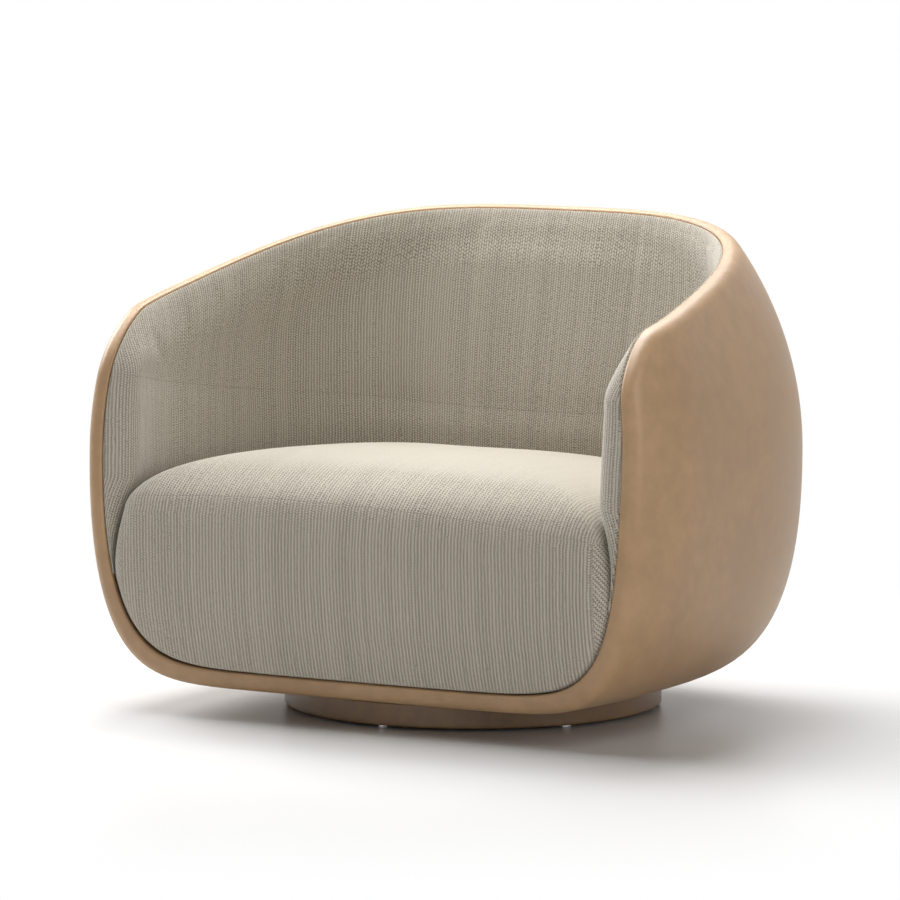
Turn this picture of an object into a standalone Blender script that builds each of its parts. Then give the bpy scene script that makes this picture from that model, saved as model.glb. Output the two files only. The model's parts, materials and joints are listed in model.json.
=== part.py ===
"""Swivel lounge chair, in metres, +Z up, front facing -Y, floor at z = 0, swivel axis on Z.

An egg-shaped leather shell, cut open at the front, holds a fabric arm-and-back pad and a tight seat.
It turns on a ball-bearing swivel that is let into a round plinth on six glides.
"""

import math

import bmesh
import bpy
import numpy as np

# Gap between pieces that touch
GAP = 0.0003

# Outer shell: level sections, belly and the way it draws in towards the top
SHELL_HALF_WIDTH = 0.507
SHELL_BACK_REACH = 0.375
SHELL_FRONT_REACH = 0.343
SHELL_WIDEST_HEIGHT = 0.400
SECTION_CENTRE = -0.165
ARM_TAPER_LENGTH = 0.520
SIDE_TUCK_HEIGHT = 0.520
BACK_TUCK_HEIGHT = 0.680
BACK_SQUARENESS = 3.4
BELLY_SHARPNESS = 2.33
BELLY_FULLNESS = 8.3

# Side outline that cuts the shell open: arm front, rounded arm corner, rising top line
ARM_HEIGHT = 0.600
ARM_CORNER_RADIUS = 0.124
ARM_FRONT_LEAN = 0.010
ARM_FRONT_BOW = 0.022
TOP_LINE_HEIGHT = 0.768
TOP_LINE_SAG = 0.008

# Layers of the shell
COVER_THICKNESS = 0.008
CORE_THICKNESS = 0.020
RIM_DEPTH = 0.030
RIM_ROUND = 0.009

# Arm-and-back pad
PAD_ARM_THICKNESS = 0.055
PAD_BACK_THICKNESS = 0.150
PAD_RECLINE = 0.170
PAD_LEAST_THICKNESS = 0.014
PAD_TAIL_THICKNESS = 0.008
PAD_TAIL_HEIGHT = 0.200
PAD_TAIL_SWEEP = 1.0
PAD_FULL_HEIGHT_BEHIND = 0.320
PAD_PROUD = 0.002
PAD_EDGE_ROUND = 0.005
PAD_ROLL_DEPTH = 0.042

# Seat cushion
SEAT_EDGE_HEIGHT = 0.362
SEAT_SHOULDER_HEIGHT = 0.300
SEAT_CROWN_HEIGHT = 0.405
SEAT_DOME_POWER = 1.9
SEAT_FALL = 0.053
SEAT_FRONT_SETBACK = 0.004
SEAT_FRONT_BULGE = 0.016
SEAT_FRONT_CURVE = 0.012
SEAT_CLEARANCE = 0.006
SEAT_CLEARANCE_BEHIND = 0.014
SEAT_CORNER_SHARPNESS = 26.0
SEAT_CENTRE = -0.085

# Seat frame under the cushion, and the width of the cushion's skirt round it
SKIRT_SIDE_WIDTH = 0.1885
SKIRT_FRONT_DEPTH = 0.088
SKIRT_BACK_DEPTH = 0.1815
BEARER_SPACING = 0.230
BEARER_WIDTH = 0.030
BEARER_LENGTH = 0.220
BEARER_SETBACK = 0.010
BEARER_BED = 0.0004
BOARD_THICKNESS = 0.015
BOARD_CLEARANCE = 0.005
RAIL_THICKNESS = 0.024
RAIL_HEIGHT = 0.085
BLOCK_SIZE = 0.040
STRAP_WIDTH = 0.055
STRAP_THICKNESS = 0.002
LONG_STRAPS = 4
CROSS_STRAPS = 3

# Plinth
PLINTH_RADIUS = 0.290
PLINTH_HEIGHT = 0.036
PLINTH_WALL = 0.022
PLINTH_EDGE_ROUND = 0.003
WRAP_THICKNESS = 0.002
WRAP_FOLD = 0.019
PLINTH_BOARD_THICKNESS = 0.015
GLIDE_COUNT = 6
GLIDE_HEIGHT = 0.005
GLIDE_RADIUS = 0.009
GLIDE_INSET = 0.017
SHELL_RUNNING_GAP = 0.0065

# Swivel bearing
SADDLE_RADIUS = 0.150
SADDLE_THICKNESS = 0.014
LOWER_PLATE_WIDTH = 0.200
UPPER_PLATE_WIDTH = 0.160
PLATE_THICKNESS = 0.003
PLATE_SPACING = 0.005
PLATE_CORNER_ROUND = 0.012
RACE_RADIUS = 0.060
BALL_COUNT = 12
BALL_RADIUS = 0.004
CAGE_WIDTH = 0.013
CAGE_THICKNESS = 0.002
SCREW_INSET = 0.012
SCREW_RADIUS = 0.002
SCREW_HEAD_RADIUS = 0.004
SCREW_HEAD_HEIGHT = 0.002
SCREW_LENGTH = 0.012
HOLE_CLEARANCE = 0.0004

# Fineness of the meshes
CORNER_STATIONS = 4
ARM_STATIONS = 4
BACK_STATIONS = 11
BELLY_STEPS = 14
WALL_STEPS = 5
SEAT_FRONT_STEPS = 8
SEAT_SIDE_STEPS = 14
ROUND_STEPS = 40

# Heights that follow from the stack of pieces
SHELL_FLOOR = GLIDE_HEIGHT + PLINTH_HEIGHT + SHELL_RUNNING_GAP
SHELL_THICKNESS = COVER_THICKNESS + GAP + CORE_THICKNESS
SADDLE_TOP = SHELL_FLOOR + COVER_THICKNESS
SADDLE_BOTTOM = SADDLE_TOP - SADDLE_THICKNESS
UPPER_PLATE_BOTTOM = SADDLE_BOTTOM - GAP - PLATE_THICKNESS
LOWER_PLATE_TOP = UPPER_PLATE_BOTTOM - PLATE_SPACING
LOWER_PLATE_BOTTOM = LOWER_PLATE_TOP - PLATE_THICKNESS
BALL_HEIGHT = (UPPER_PLATE_BOTTOM + LOWER_PLATE_TOP) / 2
PLINTH_BOARD_TOP = LOWER_PLATE_BOTTOM - GAP


def front_line(height, depth=0.0):
    """Y of the arm's front edge: a straight lean, bowed forward, moved back square to itself by depth."""
    tall = ARM_HEIGHT - SHELL_FLOOR
    share = (height - SHELL_FLOOR) / tall
    slope = (ARM_FRONT_LEAN - 4 * ARM_FRONT_BOW * (1 - 2 * share)) / tall
    line = -SHELL_FRONT_REACH + ARM_FRONT_LEAN * share - 4 * ARM_FRONT_BOW * share * (1 - share)
    return line + depth * np.sqrt(1 + slope**2)


def front_slope(height):
    step = 1e-5
    return (front_line(height + step) - front_line(height - step)) / (2 * step)


def top_line(y, depth=0.0):
    """Height of the top edge: a rising line with a slight sag, lowered square to itself by depth."""
    run = SHELL_FRONT_REACH + SHELL_BACK_REACH
    share = (y + SHELL_FRONT_REACH) / run
    slope = (TOP_LINE_HEIGHT - ARM_HEIGHT - 4 * TOP_LINE_SAG * (1 - 2 * share)) / run
    line = ARM_HEIGHT + (TOP_LINE_HEIGHT - ARM_HEIGHT) * share - 4 * TOP_LINE_SAG * share * (1 - share)
    return line - depth * np.sqrt(1 + slope**2)


def top_slope(y):
    step = 1e-5
    return (top_line(y + step) - top_line(y - step)) / (2 * step)


def arm_corner():
    """Centre of the arc that rounds the front line into the top line, and where it meets each."""
    meets_front = ARM_HEIGHT - ARM_CORNER_RADIUS
    meets_top = ARM_CORNER_RADIUS - SHELL_FRONT_REACH
    for _ in range(40):
        lean, rise = front_slope(meets_front), top_slope(meets_top)
        out_front, out_top = math.hypot(1, lean), math.hypot(1, rise)
        centre_y = front_line(meets_front) + ARM_CORNER_RADIUS / out_front
        centre_z = top_line(meets_top) - ARM_CORNER_RADIUS / out_top
        meets_top = centre_y - ARM_CORNER_RADIUS * rise / out_top
        meets_front = centre_z + ARM_CORNER_RADIUS * lean / out_front
    return centre_y, centre_z, lean / out_front, rise / out_top


CORNER_Y, CORNER_Z, CORNER_LEAN, CORNER_RISE = arm_corner()


def rim_height(y, depth):
    """Height at which the side outline, drawn in by depth, cuts the wall at y."""
    radius = ARM_CORNER_RADIUS - depth
    start_y = CORNER_Y - radius * math.sqrt(1 - CORNER_LEAN**2)
    end_y = CORNER_Y - radius * CORNER_RISE
    arc = CORNER_Z + np.sqrt(np.clip(radius**2 - (y - CORNER_Y) ** 2, 0, None))
    start_z = CORNER_Z + radius * CORNER_LEAN
    return np.where(y <= start_y, start_z, np.where(y < end_y, arc, top_line(y, depth)))


def section(height, inset):
    """Half width, and reach behind SECTION_CENTRE, of the level cut at a height, drawn in by inset."""
    drop = SHELL_WIDEST_HEIGHT - SHELL_FLOOR - inset
    fall = np.round(np.clip((SHELL_WIDEST_HEIGHT - height) / drop, 0, 1), 9)
    belly = (1 - fall**BELLY_SHARPNESS) ** (1 / BELLY_FULLNESS)
    climb = np.maximum(height - SHELL_WIDEST_HEIGHT, 0)
    side = np.where(climb > 0, np.sqrt(np.clip(1 - (climb / SIDE_TUCK_HEIGHT) ** 2, 0.01, 1)), belly)
    back = np.where(climb > 0, np.sqrt(np.clip(1 - (climb / BACK_TUCK_HEIGHT) ** 2, 0.01, 1)), belly)
    reach = SHELL_BACK_REACH - SECTION_CENTRE - inset
    return (SHELL_HALF_WIDTH - inset) * side, reach * back


def wall_point(station, height, inset, depth=0.0):
    """Point of the shell's wall. Station 0 is the arm's front edge, 1 is SECTION_CENTRE, 2 the back."""
    station, height = np.broadcast_arrays(np.asarray(station, float), np.asarray(height, float))
    half, reach = section(height, inset)
    forward = np.clip(1 - station, 0, 1) * (SECTION_CENTRE - front_line(height, depth))
    turn = np.clip(station - 1, 0, 1) * math.pi / 2
    taper = np.sqrt(np.clip(1 - (forward / ARM_TAPER_LENGTH) ** 2, 0.01, 1))
    across = np.where(station >= 2, 0, np.abs(np.cos(turn)) ** (2 / BACK_SQUARENESS))
    x = half * taper * across
    y = SECTION_CENTRE - forward + reach * np.sin(turn) ** (2 / BACK_SQUARENESS)
    return np.stack([x, y, height], axis=-1)


def end_height(station, inset, depth):
    """Height at which the wall at a station meets the side outline, found by halving."""
    low = np.full(np.shape(station), SHELL_WIDEST_HEIGHT)
    high = np.full(np.shape(station), TOP_LINE_HEIGHT + ARM_CORNER_RADIUS)
    for _ in range(45):
        middle = (low + high) / 2
        below = rim_height(wall_point(station, middle, inset, depth)[..., 1], depth) > middle
        low, high = np.where(below, middle, low), np.where(below, high, middle)
    return low


def spaced(points, count, bend=0.0):
    """Marks, as places in a list of points, that divide it evenly by length plus bend times turning."""
    steps = np.diff(points, axis=0)
    lengths = np.linalg.norm(steps, axis=1)
    headings = steps / np.maximum(lengths, 1e-9)[:, None]
    turns = np.concatenate([[0], np.linalg.norm(np.diff(headings, axis=0), axis=1)])
    travelled = np.concatenate([[0], np.cumsum(lengths + bend * turns)])
    marks = np.linspace(0, travelled[-1], count + 1)
    return np.interp(marks, travelled, np.arange(len(points)))


def wall_stations():
    """Stations from the arm's front edge to the back, evenly spaced along the rim in three stretches."""
    found = [0.0]
    arc_end = CORNER_Y - ARM_CORNER_RADIUS * CORNER_RISE
    forward = SECTION_CENTRE - front_line(ARM_HEIGHT)
    arm_start = 1 - (SECTION_CENTRE - arc_end) / forward
    stretches = ((0.0, arm_start, CORNER_STATIONS), (arm_start, 1.0, ARM_STATIONS), (1.0, 2.0, BACK_STATIONS))
    for first, last, count in stretches:
        fine = first + (last - first) * np.linspace(0, 1, 200) ** (2 if first == 0 else 1)
        ends = wall_point(fine, end_height(fine, 0.0, 0.0), 0.0)
        marks = spaced(ends, count, 0.05)
        found.extend(np.interp(marks[1:], np.arange(len(fine)), fine))
    return np.array(found)


STATIONS = wall_stations()


RIM_ENDS = end_height(STATIONS, 0.0, 0.0)
RIM_MARGIN = max(RIM_DEPTH, PAD_ROLL_DEPTH) + (SHELL_THICKNESS + PAD_ARM_THICKNESS) / 3
LEVEL_ROWS_TOP = min(SHELL_WIDEST_HEIGHT, RIM_ENDS[0] - 1.2 * RIM_MARGIN)


def belly_falls():
    """Shares of the drop from the widest height to the floor, from 1 at the centre line upwards."""
    angle = math.pi / 2 * np.linspace(0, 1, 240) ** 3
    last = (SHELL_WIDEST_HEIGHT - LEVEL_ROWS_TOP) / (SHELL_WIDEST_HEIGHT - SHELL_FLOOR)
    fall = np.maximum(np.cos(angle) ** (2 / BELLY_SHARPNESS), last)
    fall[-1] = last
    heights = SHELL_WIDEST_HEIGHT - (SHELL_WIDEST_HEIGHT - SHELL_FLOOR) * fall
    marks = spaced(wall_point(1.0, heights, 0.0), BELLY_STEPS, 0.25)
    return np.interp(marks, np.arange(len(fall)), fall)


FALLS = belly_falls()


def layer_heights(inset, depth):
    """Heights of a layer's points, station by station: round the belly, up the wall and at the rim."""
    lowest = SHELL_FLOOR + inset
    belly = SHELL_WIDEST_HEIGHT - (SHELL_WIDEST_HEIGHT - lowest) * FALLS
    shares = np.arange(1, WALL_STEPS) / WALL_STEPS
    wall = belly[-1] + shares * (RIM_ENDS - RIM_MARGIN - belly[-1])[:, None]
    ends = end_height(STATIONS, inset, depth)[:, None]
    return np.concatenate([np.tile(belly, (len(STATIONS), 1)), wall, ends], axis=1)


def layer(inset, depth):
    """Grid of points of one layer of the shell, half of it, stations by steps."""
    return wall_point(STATIONS[:, None], layer_heights(inset, depth), inset, depth)


def rim_loop(grid):
    """The open edge of a half layer: along the front path, then along the top to the back."""
    return np.concatenate([grid[0], grid[1:, -1]])


def add_sheet(bm, grid):
    """Faces between neighbouring rows and columns of a grid of points."""
    rows = [[bm.verts.new(point) for point in row] for row in grid]
    for near, far in zip(rows, rows[1:]):
        for a, b, c, d in zip(near, near[1:], far[1:], far):
            bm.faces.new((a, b, c, d))


def close_up(bm):
    """Welds the sheets into one surface whose faces point out."""
    bmesh.ops.remove_doubles(bm, verts=bm.verts, dist=1e-6)
    bmesh.ops.recalc_face_normals(bm, faces=bm.faces)
    if bm.calc_volume(signed=True) < 0:
        bmesh.ops.reverse_faces(bm, faces=bm.faces)


def make_collection(name):
    collection = bpy.data.collections.new(name)
    bpy.context.scene.collection.children.link(collection)
    return collection


def clear_scene():
    for obj in list(bpy.data.objects):
        bpy.data.objects.remove(obj, do_unlink=True)


def finish(obj, look):
    """Gives an object its own material: colour, roughness and metallic value."""
    colour, roughness, metallic = look
    material = bpy.data.materials.new(obj.name)
    material.use_nodes = True
    shader = material.node_tree.nodes["Principled BSDF"]
    shader.inputs["Base Color"].default_value = (*colour, 1.0)
    shader.inputs["Roughness"].default_value = roughness
    shader.inputs["Metallic"].default_value = metallic
    obj.data.materials.append(material)


LEATHER = ((0.36, 0.235, 0.145), 0.45, 0.0)
DARK_LEATHER = ((0.075, 0.045, 0.025), 0.5, 0.0)
FABRIC = ((0.36, 0.32, 0.27), 0.95, 0.0)
WOOD = ((0.45, 0.32, 0.19), 0.7, 0.0)
MOULDED = ((0.30, 0.24, 0.17), 0.7, 0.0)
WEBBING = ((0.10, 0.09, 0.08), 0.9, 0.0)
STEEL = ((0.55, 0.55, 0.56), 0.35, 1.0)
BRIGHT_STEEL = ((0.75, 0.75, 0.76), 0.15, 1.0)
CAGE_PLASTIC = ((0.70, 0.68, 0.62), 0.5, 0.0)


def add_object(name, bm, look, parent):
    """Puts a finished bmesh into the chair's collection, under the empty that carries it."""
    mesh = bpy.data.meshes.new(name)
    bm.to_mesh(mesh)
    bm.free()
    obj = bpy.data.objects.new(name, mesh)
    CHAIR.objects.link(obj)
    obj.parent = parent
    finish(obj, look)
    return obj


def smooth(obj, angle=35):
    obj.data.shade_smooth()
    obj.data.set_sharp_from_angle(angle=math.radians(angle))


def mirror(obj):
    """Mirrors a half that is open at x = 0."""
    modifier = obj.modifiers.new("Mirror", "MIRROR")
    modifier.merge_threshold = 0.00001
    modifier.use_clip = True


def box(name, low, high, look, parent, edge=0.0015):
    """A box between two corners, with its edges eased."""
    low, high = np.array(low), np.array(high)
    bm = bmesh.new()
    bmesh.ops.create_cube(bm, size=1.0)
    bmesh.ops.scale(bm, vec=tuple(high - low), verts=bm.verts)
    obj = add_object(name, bm, look, parent)
    obj.location = (low + high) / 2
    if edge:
        bevel = obj.modifiers.new("Bevel", "BEVEL")
        bevel.width = edge
        bevel.segments = 1
    return obj


def turned(name, profile, look, parent, steps=ROUND_STEPS, closed=False):
    """A profile of (radius, height) points, turned round Z."""
    bm = bmesh.new()
    points = [bm.verts.new((radius, 0, height)) for radius, height in profile]
    for a, b in zip(points, points[1:]):
        bm.edges.new((a, b))
    if closed:
        bm.edges.new((points[-1], points[0]))
    obj = add_object(name, bm, look, parent)
    screw = obj.modifiers.new("Screw", "SCREW")
    screw.steps = steps
    screw.render_steps = steps
    screw.use_merge_vertices = not closed
    screw.merge_threshold = 0.00001
    return obj


def corner_arc(centre, radius, start, end, count=2):
    """Points of an arc in a profile, from one angle in degrees to another."""
    angles = np.radians(np.linspace(start, end, count + 1))
    return [(centre[0] + radius * math.cos(a), centre[1] + radius * math.sin(a)) for a in angles]


def as_cutter(obj):
    for collection in obj.users_collection:
        collection.objects.unlink(obj)
    CUTTERS.objects.link(obj)
    obj.hide_render = True
    obj.display_type = "WIRE"
    return obj


def cylinder_cutter(name, radius, centre, height, sides=12):
    bm = bmesh.new()
    bmesh.ops.create_cone(
        bm, cap_ends=True, segments=sides, radius1=radius, radius2=radius, depth=height
    )
    mesh = bpy.data.meshes.new(name)
    bm.to_mesh(mesh)
    bm.free()
    obj = bpy.data.objects.new(name, mesh)
    obj.location = centre
    bpy.context.scene.collection.objects.link(obj)
    return as_cutter(obj)


def cut(obj, cutter):
    modifier = obj.modifiers.new(cutter.name, "BOOLEAN")
    modifier.operation = "DIFFERENCE"
    modifier.object = cutter


def make_leather_cover(parent):
    """The leather skin over its foam, with the full-width roll that closes the shell's rim."""
    rim = [(0.0, RIM_ROUND)]
    for angle in np.radians([30, 60, 90]):
        rim.append((RIM_ROUND * (1 - math.cos(angle)), RIM_ROUND * (1 - math.sin(angle))))
    for angle in np.radians([0, 30, 60, 90]):
        across = SHELL_THICKNESS - RIM_ROUND * (1 - math.sin(angle))
        rim.append((across, RIM_ROUND * (1 - math.cos(angle))))
    rim.append((SHELL_THICKNESS, RIM_DEPTH))
    rim.append((COVER_THICKNESS, RIM_DEPTH))
    bm = bmesh.new()
    add_sheet(bm, layer(0.0, RIM_ROUND))
    add_sheet(bm, [rim_loop(layer(inset, depth)) for inset, depth in rim])
    add_sheet(bm, layer(COVER_THICKNESS, RIM_DEPTH))
    close_up(bm)
    obj = add_object("leather_cover", bm, LEATHER, parent)
    mirror(obj)
    hole = SADDLE_RADIUS + SHELL_RUNNING_GAP
    cut(obj, cylinder_cutter("cover_hole", hole, (0, 0, SHELL_FLOOR), 4 * COVER_THICKNESS, 36))
    smooth(obj)


def make_moulded_shell(parent):
    """The load-bearing shell between the leather cover and the pads."""
    outer, depth = COVER_THICKNESS + GAP, RIM_DEPTH + GAP
    bm = bmesh.new()
    add_sheet(bm, layer(outer, depth))
    add_sheet(bm, [rim_loop(layer(inset, depth)) for inset in (outer, SHELL_THICKNESS)])
    add_sheet(bm, layer(SHELL_THICKNESS, depth))
    close_up(bm)
    obj = add_object("moulded_shell", bm, MOULDED, parent)
    mirror(obj)
    smooth(obj)


def ease(share):
    """Smooth step from 0 to 1."""
    share = np.clip(share, 0, 1)
    return share * share * (3 - 2 * share)


def pad_thickness(station, height):
    """Thin at its tucked-in tail, full beside the seat's edge, thicker behind the back than on the arms.

    Higher up it thins as the shell draws in, so that the arms' faces stay upright and the back's reclines.
    """
    behind = ease(station - 1)
    climb = np.maximum(height - SHELL_WIDEST_HEIGHT, 0)
    side = SHELL_HALF_WIDTH - section(SHELL_WIDEST_HEIGHT + climb, 0.0)[0]
    back = SHELL_BACK_REACH - SECTION_CENTRE - section(SHELL_WIDEST_HEIGHT + climb, 0.0)[1]
    full = PAD_ARM_THICKNESS + (PAD_BACK_THICKNESS - PAD_ARM_THICKNESS) * behind
    full = full - side * (1 - behind) - (back + PAD_RECLINE * climb) * behind
    full = np.maximum(full, PAD_LEAST_THICKNESS)
    full_height = SEAT_EDGE_HEIGHT + (PAD_FULL_HEIGHT_BEHIND - SEAT_EDGE_HEIGHT) * behind
    rise = np.clip((height - PAD_TAIL_HEIGHT) / (full_height - PAD_TAIL_HEIGHT), 0, 1)
    sweep = PAD_TAIL_SWEEP + (1 - PAD_TAIL_SWEEP) * behind
    return PAD_TAIL_THICKNESS + (full - PAD_TAIL_THICKNESS) * rise**sweep


def pad_layer(share, depth):
    """Grid of the pad's points above its level tail, share 0 at its back and 1 at its face."""
    base = SHELL_THICKNESS + GAP
    heights = layer_heights(base, depth)
    first = int(np.argmax(heights[0] > PAD_TAIL_HEIGHT + GAP)) - 1
    heights = heights[:, first:]
    stations = STATIONS[:, None]
    insets = base + share * pad_thickness(stations, heights)
    heights[:, -1] = end_height(STATIONS, insets[:, -1], depth)
    grid = wall_point(stations, heights, insets, depth)
    below = wall_point(STATIONS, heights[:, 0], base, depth)
    above = wall_point(STATIONS, heights[:, 1], base, depth)
    along = (PAD_TAIL_HEIGHT - heights[0, 0]) / (heights[0, 1] - heights[0, 0])
    bare = wall_point(STATIONS, PAD_TAIL_HEIGHT, base, depth)
    tail = wall_point(STATIONS, PAD_TAIL_HEIGHT, base + share * PAD_TAIL_THICKNESS, depth)
    grid[:, 0] = below + along * (above - below) + tail - bare
    return grid


def make_pad(parent):
    """The fabric pad that lines both arms and the back, rolled over at its edge."""
    edge = PAD_EDGE_ROUND / PAD_ARM_THICKNESS
    roll = [(0.0, RIM_DEPTH + GAP), (0.0, PAD_EDGE_ROUND)]
    for angle in np.radians([45, 90]):
        depth = -PAD_PROUD + (PAD_EDGE_ROUND + PAD_PROUD) * (1 - math.sin(angle))
        roll.append((edge * (1 - math.cos(angle)), depth))
    for angle in np.radians([25, 50, 70, 90]):
        depth = -PAD_PROUD + (PAD_ROLL_DEPTH + PAD_PROUD) * (1 - math.cos(angle))
        roll.append((edge + (1 - edge) * math.sin(angle), depth))
    back, face = pad_layer(*roll[0]), pad_layer(*roll[-1])
    loops = [rim_loop(pad_layer(share, depth)) for share, depth in roll]
    bm = bmesh.new()
    add_sheet(bm, back)
    add_sheet(bm, face)
    add_sheet(bm, loops)
    add_sheet(bm, np.stack([back[:, 0], face[:, 0]]))
    bm.faces.new([bm.verts.new(loop[0]) for loop in loops])
    close_up(bm)
    obj = add_object("arm_and_back_pad", bm, FABRIC, parent)
    mirror(obj)
    smooth(obj)


def seat_wall(stations, height):
    """Where the cushion's side runs at a height: a clearance inside the pad, or inside the bare shell."""
    tail = PAD_TAIL_THICKNESS * ease(1 + (height - PAD_TAIL_HEIGHT) / PAD_TAIL_HEIGHT * 4)
    pad = np.where(height > PAD_TAIL_HEIGHT, pad_thickness(stations, height), tail)
    clearance = SEAT_CLEARANCE + (SEAT_CLEARANCE_BEHIND - SEAT_CLEARANCE) * ease(stations - 1)
    return wall_point(stations, height, SHELL_THICKNESS + GAP + pad + clearance)


def fallen(height, y):
    """A height near the cushion's shoulder, lowered towards the back, as the seat slopes down to it."""
    near_top = ease((height - PAD_TAIL_HEIGHT) / (SEAT_SHOULDER_HEIGHT - PAD_TAIL_HEIGHT))
    return height - SEAT_FALL * near_top * (y - SEAT_CENTRE)


def cushion_ring(height):
    """Half outline of the cushion at a height: the walls, blended into the front."""
    stations = np.linspace(0, 2, 240)
    wall = seat_wall(stations, height)
    wall = seat_wall(stations, fallen(height, wall[:, 1]))
    across, along = wall[:, 0], wall[:, 1] - SEAT_CENTRE
    bearing = np.arctan2(along, across)
    front_steps = 1 - (1 - np.linspace(0, 1, SEAT_FRONT_STEPS + 1)[:-1]) ** 1.6
    side_steps = np.linspace(0, 1, SEAT_SIDE_STEPS + 1) ** 1.4
    quarter = math.pi / 2
    angles = np.concatenate(
        [(bearing[0] + quarter) * front_steps - quarter, bearing[0] + (quarter - bearing[0]) * side_steps]
    )
    share = (height - CUSHION_BOTTOM) / (SEAT_CROWN_HEIGHT - CUSHION_BOTTOM)
    bulge = SEAT_FRONT_BULGE * max(math.sin(math.pi * share), 0) ** 0.7 - SEAT_FRONT_SETBACK
    sine = np.clip(-np.sin(angles), 1e-6, 1)
    face = SEAT_CENTRE - front_line(height) + bulge - SEAT_FRONT_CURVE * (1 - sine)
    side = np.interp(angles, bearing, np.hypot(across, along))
    side = np.where(angles < bearing[0], across[0] / np.maximum(np.cos(angles), 1e-6), side)
    power = SEAT_CORNER_SHARPNESS
    reach = (side**-power + (face / sine) ** -power) ** (-1 / power)
    return ring_points(reach, angles, height)


def ring_points(reach, angles, height):
    """Points at bearings round the cushion's centre, the first and last on the centre plane."""
    x = reach * np.cos(angles)
    x[0] = x[-1] = 0.0
    y = SEAT_CENTRE + reach * np.sin(angles)
    return np.stack([x, y, fallen(height, y)], axis=-1)


def make_seat_cushion(parent):
    """Tight seat with its tall front: walls that follow the shell, and one round dome from their shoulder."""
    lowest = CUSHION_BOTTOM - SEAT_BOTTOM_RISE
    heights = SHELL_WIDEST_HEIGHT - (SHELL_WIDEST_HEIGHT - lowest) * FALLS
    heights = [height for height in heights if CUSHION_BOTTOM + GAP < height < SEAT_SHOULDER_HEIGHT - 0.02]
    rings = [cushion_ring(height) for height in (CUSHION_BOTTOM, *heights, SEAT_SHOULDER_HEIGHT)]
    centre = np.array([0.0, SEAT_CENTRE, SEAT_SHOULDER_HEIGHT])
    edge = rings[-1] - centre
    for rise in (0.22, 0.42, 0.60, 0.76, 0.89, 0.97, 1.0):
        share = (1 - rise**2) ** (1 / SEAT_DOME_POWER)
        lift = (SEAT_CROWN_HEIGHT - SEAT_SHOULDER_HEIGHT) * rise
        rings.append(centre + edge * share + np.array([0, 0, lift]))
    rings.insert(0, np.array([0.0, SEAT_CENTRE, CUSHION_BOTTOM]) + np.zeros_like(rings[0]))
    bm = bmesh.new()
    add_sheet(bm, rings)
    close_up(bm)
    obj = add_object("seat_cushion", bm, FABRIC, parent)
    mirror(obj)
    low = (-FRAME_HALF_WIDTH - SEAT_CLEARANCE, FRAME_FRONT - SEAT_CLEARANCE, CUSHION_BOTTOM - 0.02)
    high = (FRAME_HALF_WIDTH + SEAT_CLEARANCE, FRAME_BACK + SEAT_CLEARANCE, STRAPS_TOP + GAP)
    pocket = box("cushion_pocket", low, high, FABRIC, None, edge=0)
    cut(obj, as_cutter(pocket))
    smooth(obj)


def floor_height(x, y):
    """Height of the moulded shell's inside above a place in plan."""
    half = SHELL_HALF_WIDTH - SHELL_THICKNESS
    reach = SHELL_BACK_REACH - SECTION_CENTRE - SHELL_THICKNESS
    forward = max(SECTION_CENTRE - y, 0)
    half *= math.sqrt(1 - (forward / ARM_TAPER_LENGTH) ** 2)
    behind = max(y - SECTION_CENTRE, 0) / reach
    ratio = ((abs(x) / half) ** BACK_SQUARENESS + behind**BACK_SQUARENESS) ** (1 / BACK_SQUARENESS)
    fall = (1 - ratio**BELLY_FULLNESS) ** (1 / BELLY_SHARPNESS)
    drop = SHELL_WIDEST_HEIGHT - SHELL_FLOOR - SHELL_THICKNESS
    return SHELL_WIDEST_HEIGHT - drop * fall


SEAT_BOTTOM_RISE = 0.001
CUSHION_BOTTOM = SHELL_FLOOR + SHELL_THICKNESS + GAP + SEAT_CLEARANCE + SEAT_BOTTOM_RISE
FRAME_HALF_WIDTH = SHELL_HALF_WIDTH - SHELL_THICKNESS - SKIRT_SIDE_WIDTH
FRAME_FRONT = -SHELL_FRONT_REACH + SKIRT_FRONT_DEPTH
FRAME_BACK = SHELL_BACK_REACH - SHELL_THICKNESS - SKIRT_BACK_DEPTH
BOARD_CORNERS = [(FRAME_HALF_WIDTH, FRAME_FRONT), (FRAME_HALF_WIDTH, FRAME_BACK)]
BOARD_BOTTOM = max(floor_height(x, y) for x, y in BOARD_CORNERS) + BOARD_CLEARANCE
RAIL_BOTTOM = BOARD_BOTTOM + BOARD_THICKNESS + GAP
RAIL_TOP = RAIL_BOTTOM + RAIL_HEIGHT
CROSS_STRAP_BOTTOM = RAIL_TOP + GAP + STRAP_THICKNESS + GAP
STRAPS_TOP = CROSS_STRAP_BOTTOM + STRAP_THICKNESS


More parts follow.
